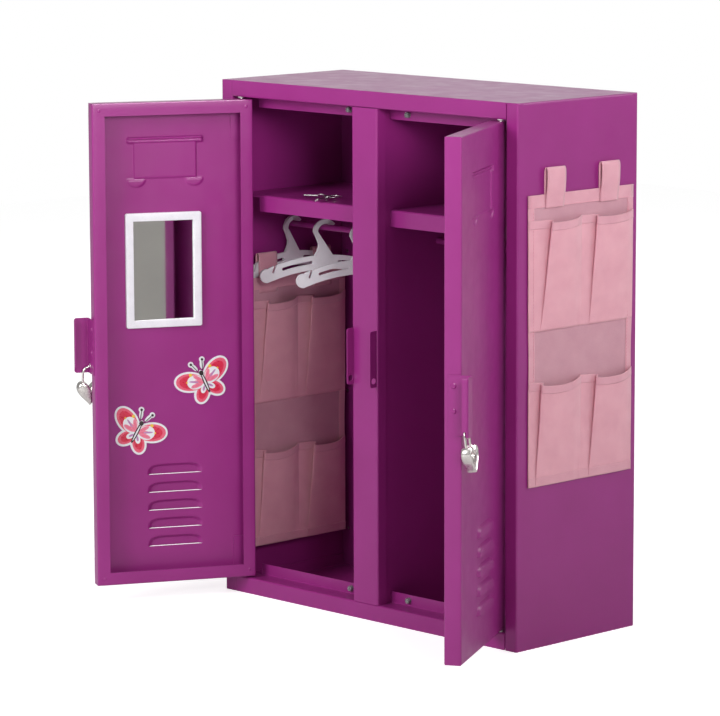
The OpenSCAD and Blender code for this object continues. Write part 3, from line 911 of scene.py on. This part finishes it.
    def welds(self) -> bpy.types.Object:
        """Shallow round weld marks at the corners of the turned-in edge.

        Each is a dome of four rings, whose heights are given from rim to middle.

        Returns:
            The marks, as one piece.
        """
        angle = np.linspace(0, 2 * np.pi, 17)[:-1]
        share = np.array([1.0, 0.75, 0.4, 0.0])
        drop = np.array([0.0, 0.28, 0.34, 0.3])
        skin = Skin()
        inset = self.turn_in * self.weld_in
        for x in (inset, self.wide - inset):
            for z in (inset, self.tall - inset):
                ring = share[:, None] * self.weld
                flat = np.stack([x + ring * np.cos(angle), z + ring * np.sin(angle)], -1)
                skin.grid(in_plane(flat, self.depth + drop[:, None]), wrap=True)
        piece = move(skin.build(f"weld_marks_{self.place.side.word}"), self.place.to_row())
        return fit(piece, Finish.ENAMEL, self.place.body)


# ---- padlocks ---------------------------------------------------------------


@dataclass
class HeartPadlock:
    """A small padlock with a heart-shaped case: flat sides inside a thick round rim."""

    place: DoorPlace
    wide: float = 25.0
    tall: float = 24.0
    thick: float = 11.0
    lean: float = 7.0
    hole: tuple[float, float, float] = (0.5, -3.8, 233.7)
    drop: float = 16.3
    lobes: float = 2.3
    centre: float = 0.42

    def outline(self, steps: int = 96) -> np.ndarray:
        """The heart: across goes as a power of the sine, and height as a sum of four cosines.

        Args:
            steps: number of points.

        Returns:
            The points, in X and Z.
        """
        a = np.linspace(0, 2 * np.pi, steps + 1)[:-1]
        x = self.wide / 2 * np.abs(np.sin(a)) ** self.lobes * np.sign(np.sin(a))
        z = self.tall * (13 * np.cos(a) - 5 * np.cos(2 * a) - 2 * np.cos(3 * a) - np.cos(4 * a) - 12) / 29
        return np.stack([x, z], -1)

    def matrix(self) -> Matrix:
        """The way from the padlock's own frame, whose origin is the hasp's hole, to where it hangs.

        Returns:
            The matrix.
        """
        edge = self.place.high.x + self.hole[0] * MM
        if self.place.side is Side.RIGHT:
            edge = self.place.low.x - self.hole[0] * MM
        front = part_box("centre_post")[0].y
        at = Matrix.Translation((edge, front + self.hole[1] * MM, self.hole[2] * MM))
        flip = Matrix.Diagonal((-self.place.side.value, 1, 1, 1))
        return self.place.swing @ at @ Matrix.Rotation(math.radians(-self.lean), 4, "X") @ flip

    def build(self) -> bpy.types.Object:
        """Builds the case: the heart at several shares of its size, domed behind and rimmed in front.

        Returns:
            The case.
        """
        share = np.array([0.0, 0.3, 0.55, 0.74, 0.86, 0.93, 0.975, 1.0])
        dome = np.array([1.0, 0.99, 0.96, 0.9, 0.8, 0.67, 0.48, 0.25])
        face = np.array([0.80, 0.80, 0.80, 0.81, 0.93, 1.0, 0.93, 0.72])
        heart = self.outline()
        middle = np.array([0.0, -self.wide * self.centre])
        share = np.concatenate([share, share[::-1]])
        level = np.concatenate([dome, -face[::-1]]) * self.thick / 2
        flat = middle + (heart - middle)[None] * share[:, None, None]
        points = in_plane(flat - np.array([0.0, self.drop]), level[:, None])
        word = self.place.side.word
        case = Skin().grid(points, wrap=True).build(f"heart_case_{word}", 40, closed=True)
        move(case, self.matrix())
        return fit(case, Finish.CHROME, f"{word}_padlock", f"lock_case_{word}")


# ---- mirror -----------------------------------------------------------------


@dataclass
class MirrorFrame:
    """The mirror's moulded frame: a rounded profile carried round a rectangle."""

    place: DoorPlace
    border: float = 8.0
    edge: float = 0.9
    corner: float = 2.0
    inner_corner: float = 0.4

    def build(self) -> bpy.types.Object:
        """Builds the frame. Each ring of the profile is a rectangle with round corners at its own inset.

        Returns:
            The frame.
        """
        low, high = self.place.shut_box("mirror_frame")
        wide, thick, tall = (np.array(high - low)) / MM
        e, inner = self.edge, self.border
        a = np.linspace(0, np.pi / 2, 5)
        outer = np.stack([e * (1 - np.sin(a[::-1])), thick - e * (1 - np.cos(a[::-1]))], -1)
        inside = np.stack([inner - e * (1 - np.sin(a)), thick - e * (1 - np.cos(a))], -1)
        profile = np.concatenate([[[0, 0]], outer, inside, [[inner, 0.9]]])
        quarter = np.linspace(0, np.pi / 2, 7)
        radius = np.clip(self.corner - profile[:, 0], self.inner_corner, self.corner)[:, None]
        rings = []
        for k, (sx, sz) in enumerate([(1, 1), (-1, 1), (-1, -1), (1, -1)]):
            turn = quarter[None] + k * np.pi / 2
            cx = sx * (wide / 2 - profile[:, :1] - radius)
            cz = sz * (tall / 2 - profile[:, :1] - radius)
            rings.append(np.stack([cx + radius * np.cos(turn), cz + radius * np.sin(turn)], -1))
        flat = np.concatenate(rings, 1)
        points = in_plane(flat, profile[:, 1:])
        centre = Matrix.Translation(((low.x + high.x) / 2, low.y, (low.z + high.z) / 2))
        piece = Skin().grid(points, wrap=True).build("mirror_border", 50)
        move(piece, self.place.swing @ centre)
        return fit(piece, Finish.MIRROR_FRAME, self.place.body, "mirror_frame")


@dataclass
class MirrorPane:
    """The mirror's pane: a thin sheet that sits a little askew in its frame."""

    place: DoorPlace
    low_side: float = 1.3
    askew: float = 2.45

    def build(self) -> bpy.types.Object:
        """Builds the pane: one outline at the back, one in front whose depth grows towards the free edge.

        Returns:
            The pane.
        """
        low, high = self.place.shut_box("mirror_glass")
        frame_low, _ = self.place.shut_box("mirror_frame")
        lo, hi = np.array(low) / MM, np.array(high) / MM
        share = np.array([0.0, 1.0, 1.0, 0.0])
        x = lo[0] + (hi[0] - lo[0]) * share
        z = np.array([lo[2], lo[2], hi[2], hi[2]])
        back = frame_low.y / MM
        front = back + self.low_side + self.askew * share
        rings = np.stack([np.stack([x, np.full(4, back + 0.3), z], -1), np.stack([x, front, z], -1)])
        middle = np.broadcast_to(rings.mean(1)[:, None], rings.shape)
        skin = Skin().grid(rings, wrap=True)
        skin.grid(np.stack([middle[0], rings[0]]), wrap=True)
        skin.grid(np.stack([rings[1], middle[1]]), wrap=True)
        pane = move(skin.build("mirror_pane", 20, closed=True), self.place.swing)
        return fit(pane, Finish.MIRROR, self.place.body, "mirror_glass")


# ---- butterflies ------------------------------------------------------------


@dataclass
class Butterfly:
    """A printed butterfly magnet, made of thin printed layers on a white base."""

    place: DoorPlace
    name: str
    node: str
    lean: float
    shift: tuple[float, float] = (0.0, 0.0)
    upper: tuple[float, float, float] = (29.5, 26.0, 0.56)
    lower: tuple[float, float, float] = (20.0, -51.0, 0.60)
    base: float = 0.9
    film: float = 0.09
    overlap: float = 0.004

    def wing(self, reach: float, aim: float, width: float, grow: float = 0.0,
             start: float = 0.0) -> np.ndarray:
        """A wing's outline: an oval that starts near the body and widens towards its tip.

        Args:
            reach: length of the wing.
            aim: its direction in degrees above the horizontal.
            width: its width as a share of its length.
            grow: how much larger it is drawn all round.
            start: how far from the body the oval starts.

        Returns:
            The outline's points.
        """
        t = np.linspace(0, 2 * np.pi, 73)[:-1]
        half = (reach - start) / 2
        along = start + half - (half + grow) * np.cos(t)
        swell = 1 - 0.08 * np.cos(t)
        side = (half * width + grow) * np.sin(t) * swell
        return self.turned(along, side, aim)

    def turned(self, u: np.ndarray, v: np.ndarray, degrees: float) -> np.ndarray:
        """Points turned round the origin by some degrees."""
        a = math.radians(degrees)
        return np.stack([u * math.cos(a) - v * math.sin(a), u * math.sin(a) + v * math.cos(a)], -1)

    def oval(self, x: float, z: float, rx: float, rz: float, turn: float = 0.0) -> np.ndarray:
        """An oval's outline: a cosine across by a sine up.

        Args:
            x, z: its middle.
            rx, rz: half of its width and of its height.
            turn: how far it is turned, in degrees.

        Returns:
            The outline's points.
        """
        t = np.linspace(0, 2 * np.pi, 33)[:-1]
        return self.turned(rx * np.cos(t), rz * np.sin(t), turn) + np.array([x, z])

    def both(self, outlines: list[np.ndarray]) -> list[np.ndarray]:
        """The outlines and their mirror images, all running the same way round."""
        flip = np.array([-1.0, 1.0])
        return [o for line in outlines for o in (line, (line * flip)[::-1])]

    def layers(self) -> list[tuple[str, Finish, list[np.ndarray]]]:
        """The printed layers from the base up.

        Returns:
            Each layer's name, its finish and the outlines in it.
        """
        ul, ua, uw = self.upper
        ll, la, lw = self.lower
        feeler = [self.oval(4.3, 18.5, 2.0, 5.0, -22), self.oval(6.2, 22.5, 2.8, 2.8)]
        white = [self.wing(ul, ua, uw, 2.1), self.wing(ll, la, lw, 2.1), *feeler]
        rose = [self.wing(ul, ua, uw, 0.2), self.wing(ll, la, lw, 0.0)]
        red = [self.wing(ul - 2, ua, uw, -1.2), self.wing(ll - 2, la, lw, -1.2)]
        pale = [self.wing(18.5, ua, 0.80, start=1), self.wing(11, la, 0.6, start=2)]
        rays = [self.wing(14, ua + 27, 0.34, start=3), self.wing(15, ua - 20, 0.34, start=3),
                self.wing(12, ua + 3, 0.3)]
        veins = [self.wing(16.5, ua + 2, 0.2, start=7), self.wing(8.5, la, 0.4, start=3)]
        spots = [self.oval(10.6, 13.2, 1.6, 1.6), self.oval(17.0, 8.0, 0.9, 0.9)]
        tips = [self.oval(6.2, 22.5, 1.25, 1.25), self.oval(4.2, 17.4, 0.35, 5.6, -20)]
        return [
            ("base", Finish.WHITE_FILM, self.both(white) + [self.oval(0, 0, 3.8, 13.5)]),
            ("rose", Finish.ROSE_FILM, self.both(rose)),
            ("red", Finish.RED_FILM, self.both(red)),
            ("pale", Finish.WHITE_FILM, self.both(pale)),
            ("ray", Finish.PINK_FILM, self.both(rays)),
            ("vein", Finish.LILAC_FILM, self.both(veins)),
            ("spot", Finish.YELLOW_FILM, self.both(spots)),
            ("body", Finish.BLACK_FILM,
             self.both(tips) + [self.oval(0, 0, 1.9, 11.0), self.oval(0, 10.5, 2.2, 2.4)]),
            ("stripe", Finish.WHITE_FILM, [self.oval(0, 0, 0.7, 8.5)]),
        ]

    def build(self) -> list[bpy.types.Object]:
        """Builds each layer as a thin plate that stands a film's thickness above the one below it.

        Plates of one layer that overlap differ by a few thousandths of a millimetre.

        Returns:
            The layers, from the base up.
        """
        low, high = self.place.shut_box(self.node)
        across, up = (v * MM for v in self.shift)
        at = Matrix.Translation(((low.x + high.x) / 2 + across, low.y, (low.z + high.z) / 2 + up))
        turn = self.place.swing @ at @ Matrix.Rotation(math.radians(self.lean), 4, "Y")
        made = []
        for k, (word, finish, outlines) in enumerate(self.layers()):
            skin = Skin()
            top = self.base + self.film * k
            for n, outline in enumerate(outlines):
                bottom = 0.0 if k == 0 else self.base - 0.1
                skin.add(drawn(outline, bottom, top + self.overlap * n, rings=4))
            piece = move(skin.build(f"{self.name}_{word}", 40, closed=True), turn)
            made.append(fit(piece, finish, self.place.body, *([self.node] if k == 0 else [])))
        return made


# ---- organizers -------------------------------------------------------------


@dataclass
class PocketRow:
    """Two pockets cut from one strip of cloth, sewn down at the sides, the middle and the bottom."""

    low: float
    high: float
    folds: tuple[float, float]
    droop: float = 3.0


@dataclass
class Organizer:
    """A hanging sheet of cloth with two rows of two pockets.

    Its own frame has U across, D out from the sheet and V up. The matrix brings
    (U, D, V) to the row.
    """

    name: str
    node: str
    body: str
    matrix: Matrix
    wide: float
    tall: float
    rows: tuple[PocketRow, ...]
    row_nodes: tuple[str, str]
    bulge: float = 7.4
    hem: float = 8.0
    taper: float = 0.018
    waist: float = 0.012
    sway: float = 0.35
    stand_off: float = 0.7
    cloth: float = 0.35
    top_hem: float = 12.0
    bottom_hem: float = 0.09
    unevenness: float = 0.35

    def width_at(self, v: np.ndarray) -> np.ndarray:
        """The sheet's width: a little less towards the bottom, with a bell-shaped waist.

        Args:
            v: heights above its bottom.

        Returns:
            The widths.
        """
        share = v / self.tall
        waist = self.waist * np.exp(-((share - 0.44) / 0.1) ** 2)
        return self.wide * (1 - self.taper * (1 - share) - waist)

    def sheet_depth(self, u: np.ndarray, v: np.ndarray) -> np.ndarray:
        """How far the back sheet stands out: long soft waves that fade at the top.

        Args:
            u: distances from its middle.
            v: heights above its bottom.

        Returns:
            The distances out.
        """
        fade = smooth_step((self.tall - v) / 60)
        waves = np.sin(u / 21 + 0.6) * np.sin(v / 47) * 0.6 + 0.4 * np.sin(v / 23 + u / 60)
        return self.stand_off + self.sway * fade * waves

    def back(self) -> bpy.types.Object:
        """The back sheet: a grid of U by V at the depth of the waves.

        Returns:
            The sheet.
        """
        v, s = np.meshgrid(np.linspace(0, self.tall, 90), np.linspace(-0.5, 0.5, 60), indexing="ij")
        u = s * self.width_at(v)
        points = np.stack([u, self.sheet_depth(u, v), v], -1)
        return self.finish(Skin().grid(points, np.stack([u, v], -1)), "back_sheet", Finish.SHEER)

    def strip(self, word: str, across: tuple[float, float], up: tuple[float, float],
              lift: float = 0.35) -> bpy.types.Object:
        """A hem folded over the sheet.

        Args:
            word: the hem's name.
            across: where it starts and ends, as shares of the sheet's width.
            up: its lower and upper height.
            lift: how far it stands off the sheet.

        Returns:
            The hem.
        """
        v, s = np.meshgrid(np.linspace(*up, 60), np.linspace(*across, 24), indexing="ij")
        u = s * self.width_at(v)
        points = np.stack([u, self.sheet_depth(u, v) + lift, v], -1)
        return self.finish(Skin().grid(points, np.stack([u, v], -1)), word, Finish.HEM)

    def section(self, fold: float, mouth: bool, span: float) -> np.ndarray:
        """A pocket's section across the sheet, through a few points.

        From its left seam the cloth lies flat, doubles back under itself in a
        pleat, crosses the front and slopes down to its right seam.

        Args:
            fold: distance from the left seam to the pleat.
            mouth: True at the open top and False at the sewn bottom.
            span: distance between the two seams.

        Returns:
            Points of U from the left seam and D.
        """
        d = self.bulge if mouth else 1.5
        under = 5.0 if mouth else 2.5
        f = fold if mouth else fold * 0.45 + 3
        flat, seam = (1.6 if mouth else 1.4), 1.25
        return np.array([
            [0, seam], [f * 0.5, flat], [f, flat + 0.25], [f + under * 0.8, flat + 0.12 * d],
            [f + under, 0.3 * d + 0.6], [f + under * 0.7, 0.5 * d + 0.5], [f + 0.6, 0.66 * d + 0.4],
            [f - 0.3, 0.80 * d + 0.4], [f + 1.6, 0.93 * d + 0.35], [f + 8, d + 0.3],
            [span * 0.62, 1.04 * d + 0.3], [span * 0.82, 0.86 * d + 0.3], [span * 0.93, 0.5 * d + 0.3],
            [span * 0.975, 0.18 * d + 1.0], [span, seam]])

    def row_points(self, row: PocketRow, v: np.ndarray,
                   lift: float = 0.0) -> tuple[np.ndarray, np.ndarray]:
        """A row's cloth: each height mixes the bottom's section into the mouth's.

        The mouth droops between its seams by a sine of the way across, and a
        product of two sines makes the front uneven.

        Args:
            row: the row.
            v: shares of the height, 0 at the bottom and 1 at the mouth.
            lift: how far the surface is moved out.

        Returns:
            The grid of points and the grid of lengths along the cloth.
        """
        samples = 90
        span = self.wide / 2
        mouth, foot = [], []
        for k, fold in enumerate(row.folds):
            shift = np.array([k * span - span, 0.0])
            mouth.append(through(self.section(fold, True, span), samples) + shift)
            foot.append(through(self.section(fold, False, span), samples) + shift)
        mouth, foot = np.concatenate(mouth), np.concatenate(foot)
        share = (v**0.8)[:, None]
        u = foot[None, :, 0] * (1 - share) + mouth[None, :, 0] * share
        d = foot[None, :, 1] * (1 - share) + mouth[None, :, 1] * share
        height = row.low + (row.high - row.low) * v[:, None]
        standing = np.clip(d / self.bulge, 0, 1)
        sag = row.droop * standing * share**2
        z = height - sag * np.abs(np.sin(np.pi * (u / span))) ** 0.7
        soft = np.sin(u / 9.0 + height / 31) * np.sin(height / 17 + u / 40)
        d = d + self.unevenness * soft * standing + lift
        u = u * (self.width_at(height) / self.wide)
        uv = np.stack([np.broadcast_to(lengths_along(mouth), u.shape), z], -1)
        return np.stack([u, d, z], -1), uv

    def row(self, index: int, row: PocketRow) -> bpy.types.Object:
        """One row of pockets as one sheet of cloth, and its hems as pieces of their own.

        Args:
            index: 0 for the upper row and 1 for the lower one.
            row: the row.

        Returns:
            The row's cloth.
        """
        points, uv = self.row_points(row, np.linspace(0, 1, 46))
        cloth = self.finish(Skin().grid(points, uv), f"pockets_{index}", Finish.CLOTH)
        hems = []
        bands = [("mouth", 1 - self.hem / (row.high - row.low), 1.0)]
        if index == 1:
            bands.append(("bottom", 0.0, self.bottom_hem))
        for word, v0, v1 in bands:
            points, uv = self.row_points(row, np.linspace(v0, v1, 8), 0.32)
            hems.append(self.finish(Skin().grid(points, uv), f"{word}_hem_{index}", Finish.HEM))
        return self.declare(cloth, with_pieces=tuple(hems))

    def stitches(self, word: str, u: np.ndarray, d: np.ndarray, v: np.ndarray) -> bpy.types.Object:
        """A line of stitches: small round-ended threads laid along a line at even steps.

        Args:
            word: name of the seam.
            u, d, v: the line's points.

        Returns:
            The piece.
        """
        line = np.stack([u, d, v], -1)
        length = lengths_along(line)
        centre = np.arange(STITCH_MARGIN, length[-1] - STITCH_MARGIN, STITCH_STEP)
        at = np.stack([np.interp(centre, length, line[:, k]) for k in range(3)], -1)
        ahead = np.stack([np.interp(centre + 1.0, length, line[:, k]) for k in range(3)], -1) - at
        ahead /= np.linalg.norm(ahead, axis=1, keepdims=True)
        out = np.array([0.0, 1.0, 0.0])
        side = np.cross(ahead, out)
        a = np.linspace(0, 2 * np.pi, 7)[:-1]
        t = np.linspace(-1, 1, 5)
        radius = STITCH_RADIUS * np.sqrt(np.clip(1 - t**2, 0, 1)) + 1e-4
        cos, sin = np.cos(a)[None, :, None], np.sin(a)[None, :, None]
        skin = Skin()
        for k in range(len(at)):
            ring = radius[:, None, None] * (cos * side[k] + sin * out)
            skin.grid(at[k] + t[:, None, None] * STITCH_HALF * ahead[k] + ring, wrap=True)
        piece = move(skin.build(f"{self.name}_{word}", closed=True), self.matrix)
        return fit(piece, Finish.THREAD, self.body)

    def seams(self) -> list[bpy.types.Object]:
        """The stitched lines along both sides and the top hem.

        Returns:
            The seams, one piece each.
        """
        made = []
        for word, share in (("left_seam", -0.5), ("right_seam", 0.5)):
            v = np.linspace(2, self.tall - 14, 60)
            u = share * (self.width_at(v) - 2 * self.hem + 3)
            made.append(self.stitches(word, u, self.sheet_depth(u, v) + 0.9, v))
        u = np.linspace(-self.wide / 2 + 6, self.wide / 2 - 6, 40)
        v = np.full_like(u, self.tall - 11)
        made.append(self.stitches("top_seam", u, self.sheet_depth(u, v) + 0.8, v))
        return made

    def finish(self, skin: Skin, word: str, finish: Finish) -> bpy.types.Object:
        """Makes a cloth piece of a skin, with its thickness, in its place.

        Args:
            skin: the piece's surface.
            word: the piece's name after the organizer's.
            finish: its finish.

        Returns:
            The piece.
        """
        piece = move(skin.build(f"{self.name}_{word}", 180), self.matrix)
        thicken(piece, self.cloth)
        return fit(piece, finish, self.body)

    def declare(self, cloth: bpy.types.Object,
                with_pieces: tuple[bpy.types.Object, ...] = ()) -> bpy.types.Object:
        """Reads a cloth piece's lengths along its own surface, as laid flat, from its UV layer, and hands the
        piece back.

        Args:
            cloth: the piece.
            with_pieces: the hems and seams sewn to it; not used.

        Returns:
            The piece.
        """
        mesh = cloth.data
        uv = np.empty(len(mesh.loops) * 2, np.float32)
        mesh.uv_layers[0].data.foreach_get("uv", uv)
        return cloth

    def strap(self, word: str, middle: float, loop: np.ndarray,
              wide: float = 25.0) -> bpy.types.Object:
        """A strap: a loop drawn in D and V, carried across the strap's width.

        Args:
            word: the strap's name.
            middle: its place across the sheet.
            loop: the loop's points.
            wide: its width.

        Returns:
            The strap.
        """
        path = through(loop, 60)
        u = middle + np.linspace(-wide / 2, wide / 2, 9)
        along = lengths_along(path)[:, None]
        across, out, up, along = np.broadcast_arrays(u, path[:, :1], path[:, 1:], along)
        points = np.stack([across, out, up], -1)
        uv = np.stack([across, along], -1)
        piece = self.finish(Skin().grid(points, uv), word, Finish.HEM)
        return self.declare(piece)

    def build(self) -> None:
        """Builds the sheet, its hems, its pockets and its seams."""
        back = self.back()
        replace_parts(back, self.node)
        half = 0.5
        side = self.hem / self.wide
        full = (0, self.tall)
        hems = [self.strip("left_hem", (-half, -half + side), full),
                self.strip("right_hem", (half - side, half), full),
                self.strip("top_hem", (-half, half), (self.tall - self.top_hem, self.tall), 0.65)]
        self.declare(back, with_pieces=(*hems, *self.seams()))
        for index, row in enumerate(self.rows):
            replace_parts(self.row(index, row), self.row_nodes[index])


@dataclass
class OutsideOrganizer:
    """The organizer on the cabinet's right side, held by magnets in its straps."""

    strap_at: float = 37.0
    rise: float = 24.5
    tall: float = 270.0

    def build(self) -> None:
        """Builds the organizer against the side wall, with its two strap loops."""
        low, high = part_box("organizer_outside")
        wide = (high.y - low.y) / MM
        matrix = Matrix.Translation((low.x, (low.y + high.y) / 2, low.z)) @ OUT_IS_X
        rows = (PocketRow(144.0, 247.0, (27.0, 17.0)), PocketRow(0.0, 98.0, (13.0, 17.0), 5.0))
        sheet = Organizer("outside_organizer", "organizer_outside", "cabinet", matrix, wide, self.tall,
                          rows, ("outside_pockets_upper", "outside_pockets_lower"))
        sheet.build()
        top = self.tall
        peak = top + self.rise
        loop = np.array([
            [0.5, top - 13], [0.45, top + 5], [0.5, peak - 5], [1.2, peak - 1], [2.4, peak],
            [3.7, peak - 1], [4.5, peak - 5], [4.1, top + 5], [2.6, top - 4], [2.0, top - 13]])
        for word, middle in (("front_strap", -self.strap_at), ("back_strap", self.strap_at)):
            sheet.strap(word, middle, loop)


@dataclass
class InsideOrganizer:
    """The organizer that hangs from the wall-side hanger by two straps round its arms."""

    strap_at: float = 37.0
    tall: float = 270.0
    wide: float = 133.0

    def build(self) -> None:
        """Builds the organizer beside the hanger, with a strap round each arm."""
        low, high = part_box("organizer_inside")
        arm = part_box("hanger_wall")
        middle = (arm[0].x + arm[1].x) / 2
        face = arm[1].x + 0.0002
        matrix = Matrix.Translation((face, (low.y + high.y) / 2, low.z)) @ OUT_IS_X
        rows = (PocketRow(144.0, 247.0, (22.0, 16.0), 4.0), PocketRow(0.0, 98.0, (15.0, 18.0), 5.0))
        sheet = Organizer("inside_organizer", "organizer_inside", "wall_hanger", matrix, self.wide, self.tall,
                          rows, ("inside_pockets_upper", "inside_pockets_lower"))
        sheet.build()
        near, far = 0.5, (middle - face) / MM * 2 - 0.5
        top = (high.z - low.z) / MM - 0.6
        under = self.tall - 2.5
        centre = (near + far) / 2
        loop = np.array([
            [near + 0.4, self.tall - 16], [near, self.tall + 4], [near, top - 4], [near - 0.6, top - 0.8],
            [centre, top], [far + 0.6, top - 0.8], [far, top - 4], [far, self.tall + 4],
            [far + 0.4, under + 0.8], [centre, under], [near - 0.6, under - 1.5]])
        for word, at in (("front_strap", -self.strap_at - 2), ("back_strap", self.strap_at - 2)):
            sheet.strap(word, at, loop)


# ---- carcass ----------------------------------------------------------------


@dataclass
class Carcass:
    """The painted cabinet and everything on it that keeps its CAD shape."""

    painted: tuple[str, ...] = (
        "shell", "back_panel", "floor_pan", "top_rail", "bottom_rail", "centre_post", "divider",
        "shelf_left", "shelf_right", "rod_left", "rod_right", "strike_plates", "hinge_brackets_left",
        "hinge_brackets_right", "hasp_left", "hasp_right", "hasp_rivets_left", "hasp_rivets_right")
    steel: tuple[str, ...] = (
        "back_rivets", "pivot_pins_left", "pivot_pins_right", "key_ring", "keys", "key_plug_left",
        "key_plug_right")

    def dress(self) -> None:
        """Gives each CAD piece its finish."""
        dress(Finish.ENAMEL, *self.painted)
        dress(Finish.STEEL, *self.steel)
        dress(Finish.CHROME, "shackle_left", "shackle_right")
        dress(Finish.HANGER, "hanger_wall", "hanger_middle", "hanger_inner")
        dress(Finish.NYLON, "pivot_bushes")
        dress(Finish.RUBBER, "door_bumpers")
        dress(Finish.MAGNET, "strap_magnets")
        LOG.info("dressed the carcass and its hardware")


# ---- studio -----------------------------------------------------------------


@dataclass
class Studio:
    """Camera, lights and floor."""

    eye: Point = (2.5598, -2.5818, 0.8084)
    right: Point = (0.69819223, 0.71590381, -0.0030556)
    up: Point = (-0.10751241, 0.10907036, 0.98820278)
    back: Point = (0.70779141, -0.68962699, 0.15312062)
    lens: float = 190.61
    floor: float = 3.0
    surround: float = 0.36
    floor_lift: float = 0.62

    def camera(self) -> bpy.types.Object:
        """Places the camera at the view's own angle.

        Returns:
            The camera.
        """
        data = bpy.data.cameras.new("camera")
        data.lens = self.lens
        data.sensor_width = 36.0
        data.sensor_fit = "HORIZONTAL"
        data.clip_end = 50
        camera = bpy.data.objects.new("camera", data)
        bpy.context.scene.collection.objects.link(camera)
        turn = Matrix((self.right, self.up, self.back)).transposed().to_4x4()
        camera.matrix_world = Matrix.Translation(self.eye) @ turn
        bpy.context.scene.camera = camera
        return camera

    def light(self, name: str, at: Point, size: tuple[float, float], power: float,
              aim: Point = (0, 0, 0.25), gleam: bool = False) -> None:
        """Adds a soft panel light that faces a point.

        Args:
            name: the light's name.
            at: its place.
            size: its width and height.
            power: in watts.
            aim: the point that it faces.
            gleam: True for a light that only shows in shiny surfaces.
        """
        data = bpy.data.lights.new(name, "AREA")
        data.shape = "RECTANGLE"
        data.size, data.size_y = size
        data.energy = power
        lamp = bpy.data.objects.new(name, data)
        bpy.context.scene.collection.objects.link(lamp)
        lamp.location = at
        lamp.visible_camera = False
        lamp.visible_diffuse = not gleam
        lamp.rotation_euler = (Vector(aim) - Vector(at)).to_track_quat("-Z", "Y").to_euler()

    def sheet(self, name: str, corners: tuple[Point, Point, Point, Point]) -> bpy.types.Object:
        """Makes a flat stage sheet.

        Args:
            name: its name.
            corners: its corners in metres, the last two in the order of the first two.

        Returns:
            The sheet.
        """
        sheet = Skin().grid(np.array(corners).reshape(2, 2, 3) / MM).build(name)
        return sheet

    def ground(self) -> None:
        """Lays the pale floor, which looks lighter to the camera than it lights the cabinet."""
        s = self.floor
        floor = self.sheet("floor", ((-s, -s, 0), (-s, s, 0), (s, -s, 0), (s, s, 0)))
        pale = Recipe("pale_floor")
        pale.tint(pale.noise(pale.place(), 3), (0.88, 0.88, 0.88), (0.86, 0.86, 0.86))
        seen = pale.node("ShaderNodeLightPath").outputs["Is Camera Ray"]
        lift = pale.spread(seen, 0, self.floor_lift, 0, 1)
        pale.link(lift, pale.shader.inputs["Emission Strength"])
        pale.set(Roughness=0.8, Emission_Color=(1, 1, 1, 1))
        floor.data.materials.append(pale.material)

    def card(self) -> None:
        """Stands a grey card beside the cabinet, hidden from the camera but not from the mirror."""
        x, y0, y1, top = 1.25, -1.0, 0.2, 0.62
        card = self.sheet("grey_card", ((x, y0, 0), (x, y0, top), (x, y1, 0), (x, y1, top)))
        grey = Recipe("grey_card")
        grey.tint(grey.noise(grey.place(), 4), (0.52, 0.50, 0.47), (0.48, 0.46, 0.43))
        grey.set(Roughness=0.9)
        card.data.materials.append(grey.material)
        card.visible_camera = False

    def world(self) -> None:
        """Sets the white surroundings, which light the cabinet less than they show."""
        world = bpy.data.worlds.new("studio")
        world.use_nodes = True
        tree = world.node_tree
        backdrop = tree.nodes["Background"]
        backdrop.inputs["Color"].default_value = (1, 1, 1, 1)
        ray = tree.nodes.new("ShaderNodeLightPath")
        level = tree.nodes.new("ShaderNodeMapRange")
        level.inputs["To Min"].default_value = self.surround
        level.inputs["To Max"].default_value = 1.0
        tree.links.new(ray.outputs["Is Camera Ray"], level.inputs["Value"])
        tree.links.new(level.outputs["Result"], backdrop.inputs["Strength"])
        bpy.context.scene.world = world
        bpy.context.scene.view_settings.view_transform = "Standard"

    def build(self) -> None:
        """Sets the floor, the grey card, the white surroundings and the lights."""
        self.ground()
        self.card()
        self.world()
        self.light("key", (-0.2, -2.6, 1.5), (1.2, 1.2), 42)
        self.light("fill", (2.6, -1.35, 1.1), (1.0, 1.0), 58)
        self.light("overhead", (0.5, 0.2, 2.2), (1.5, 1.5), 110, gleam=True)
        self.light("side", (1.6, 1.9, 1.4), (1.2, 1.2), 16)
        self.light("behind", (-2.0, 2.0, 0.75), (2.6, 1.0), 6.5)


def main() -> None:
    """Builds the locker's looks, piece by piece."""
    logging.basicConfig(level=logging.INFO, format="%(name)s %(message)s")
    studio = Studio()
    studio.camera()
    studio.build()
    Carcass().dress()
    places = {side: DoorPlace(side) for side in Side}
    for place in places.values():
        pan = DoorPan(place)
        pan.build()
        pan.welds()
        HeartPadlock(place).build()
    left = places[Side.LEFT]
    MirrorFrame(left).build()
    MirrorPane(left).build()
    Butterfly(left, "red_butterfly", "butterfly_red", 23.5, (-12.0, -4.2)).build()
    Butterfly(left, "pink_butterfly", "butterfly_pink", -29, (5.2, -7.0)).build()
    OutsideOrganizer().build()
    InsideOrganizer().build()


if __name__ == "__main__":
    main()
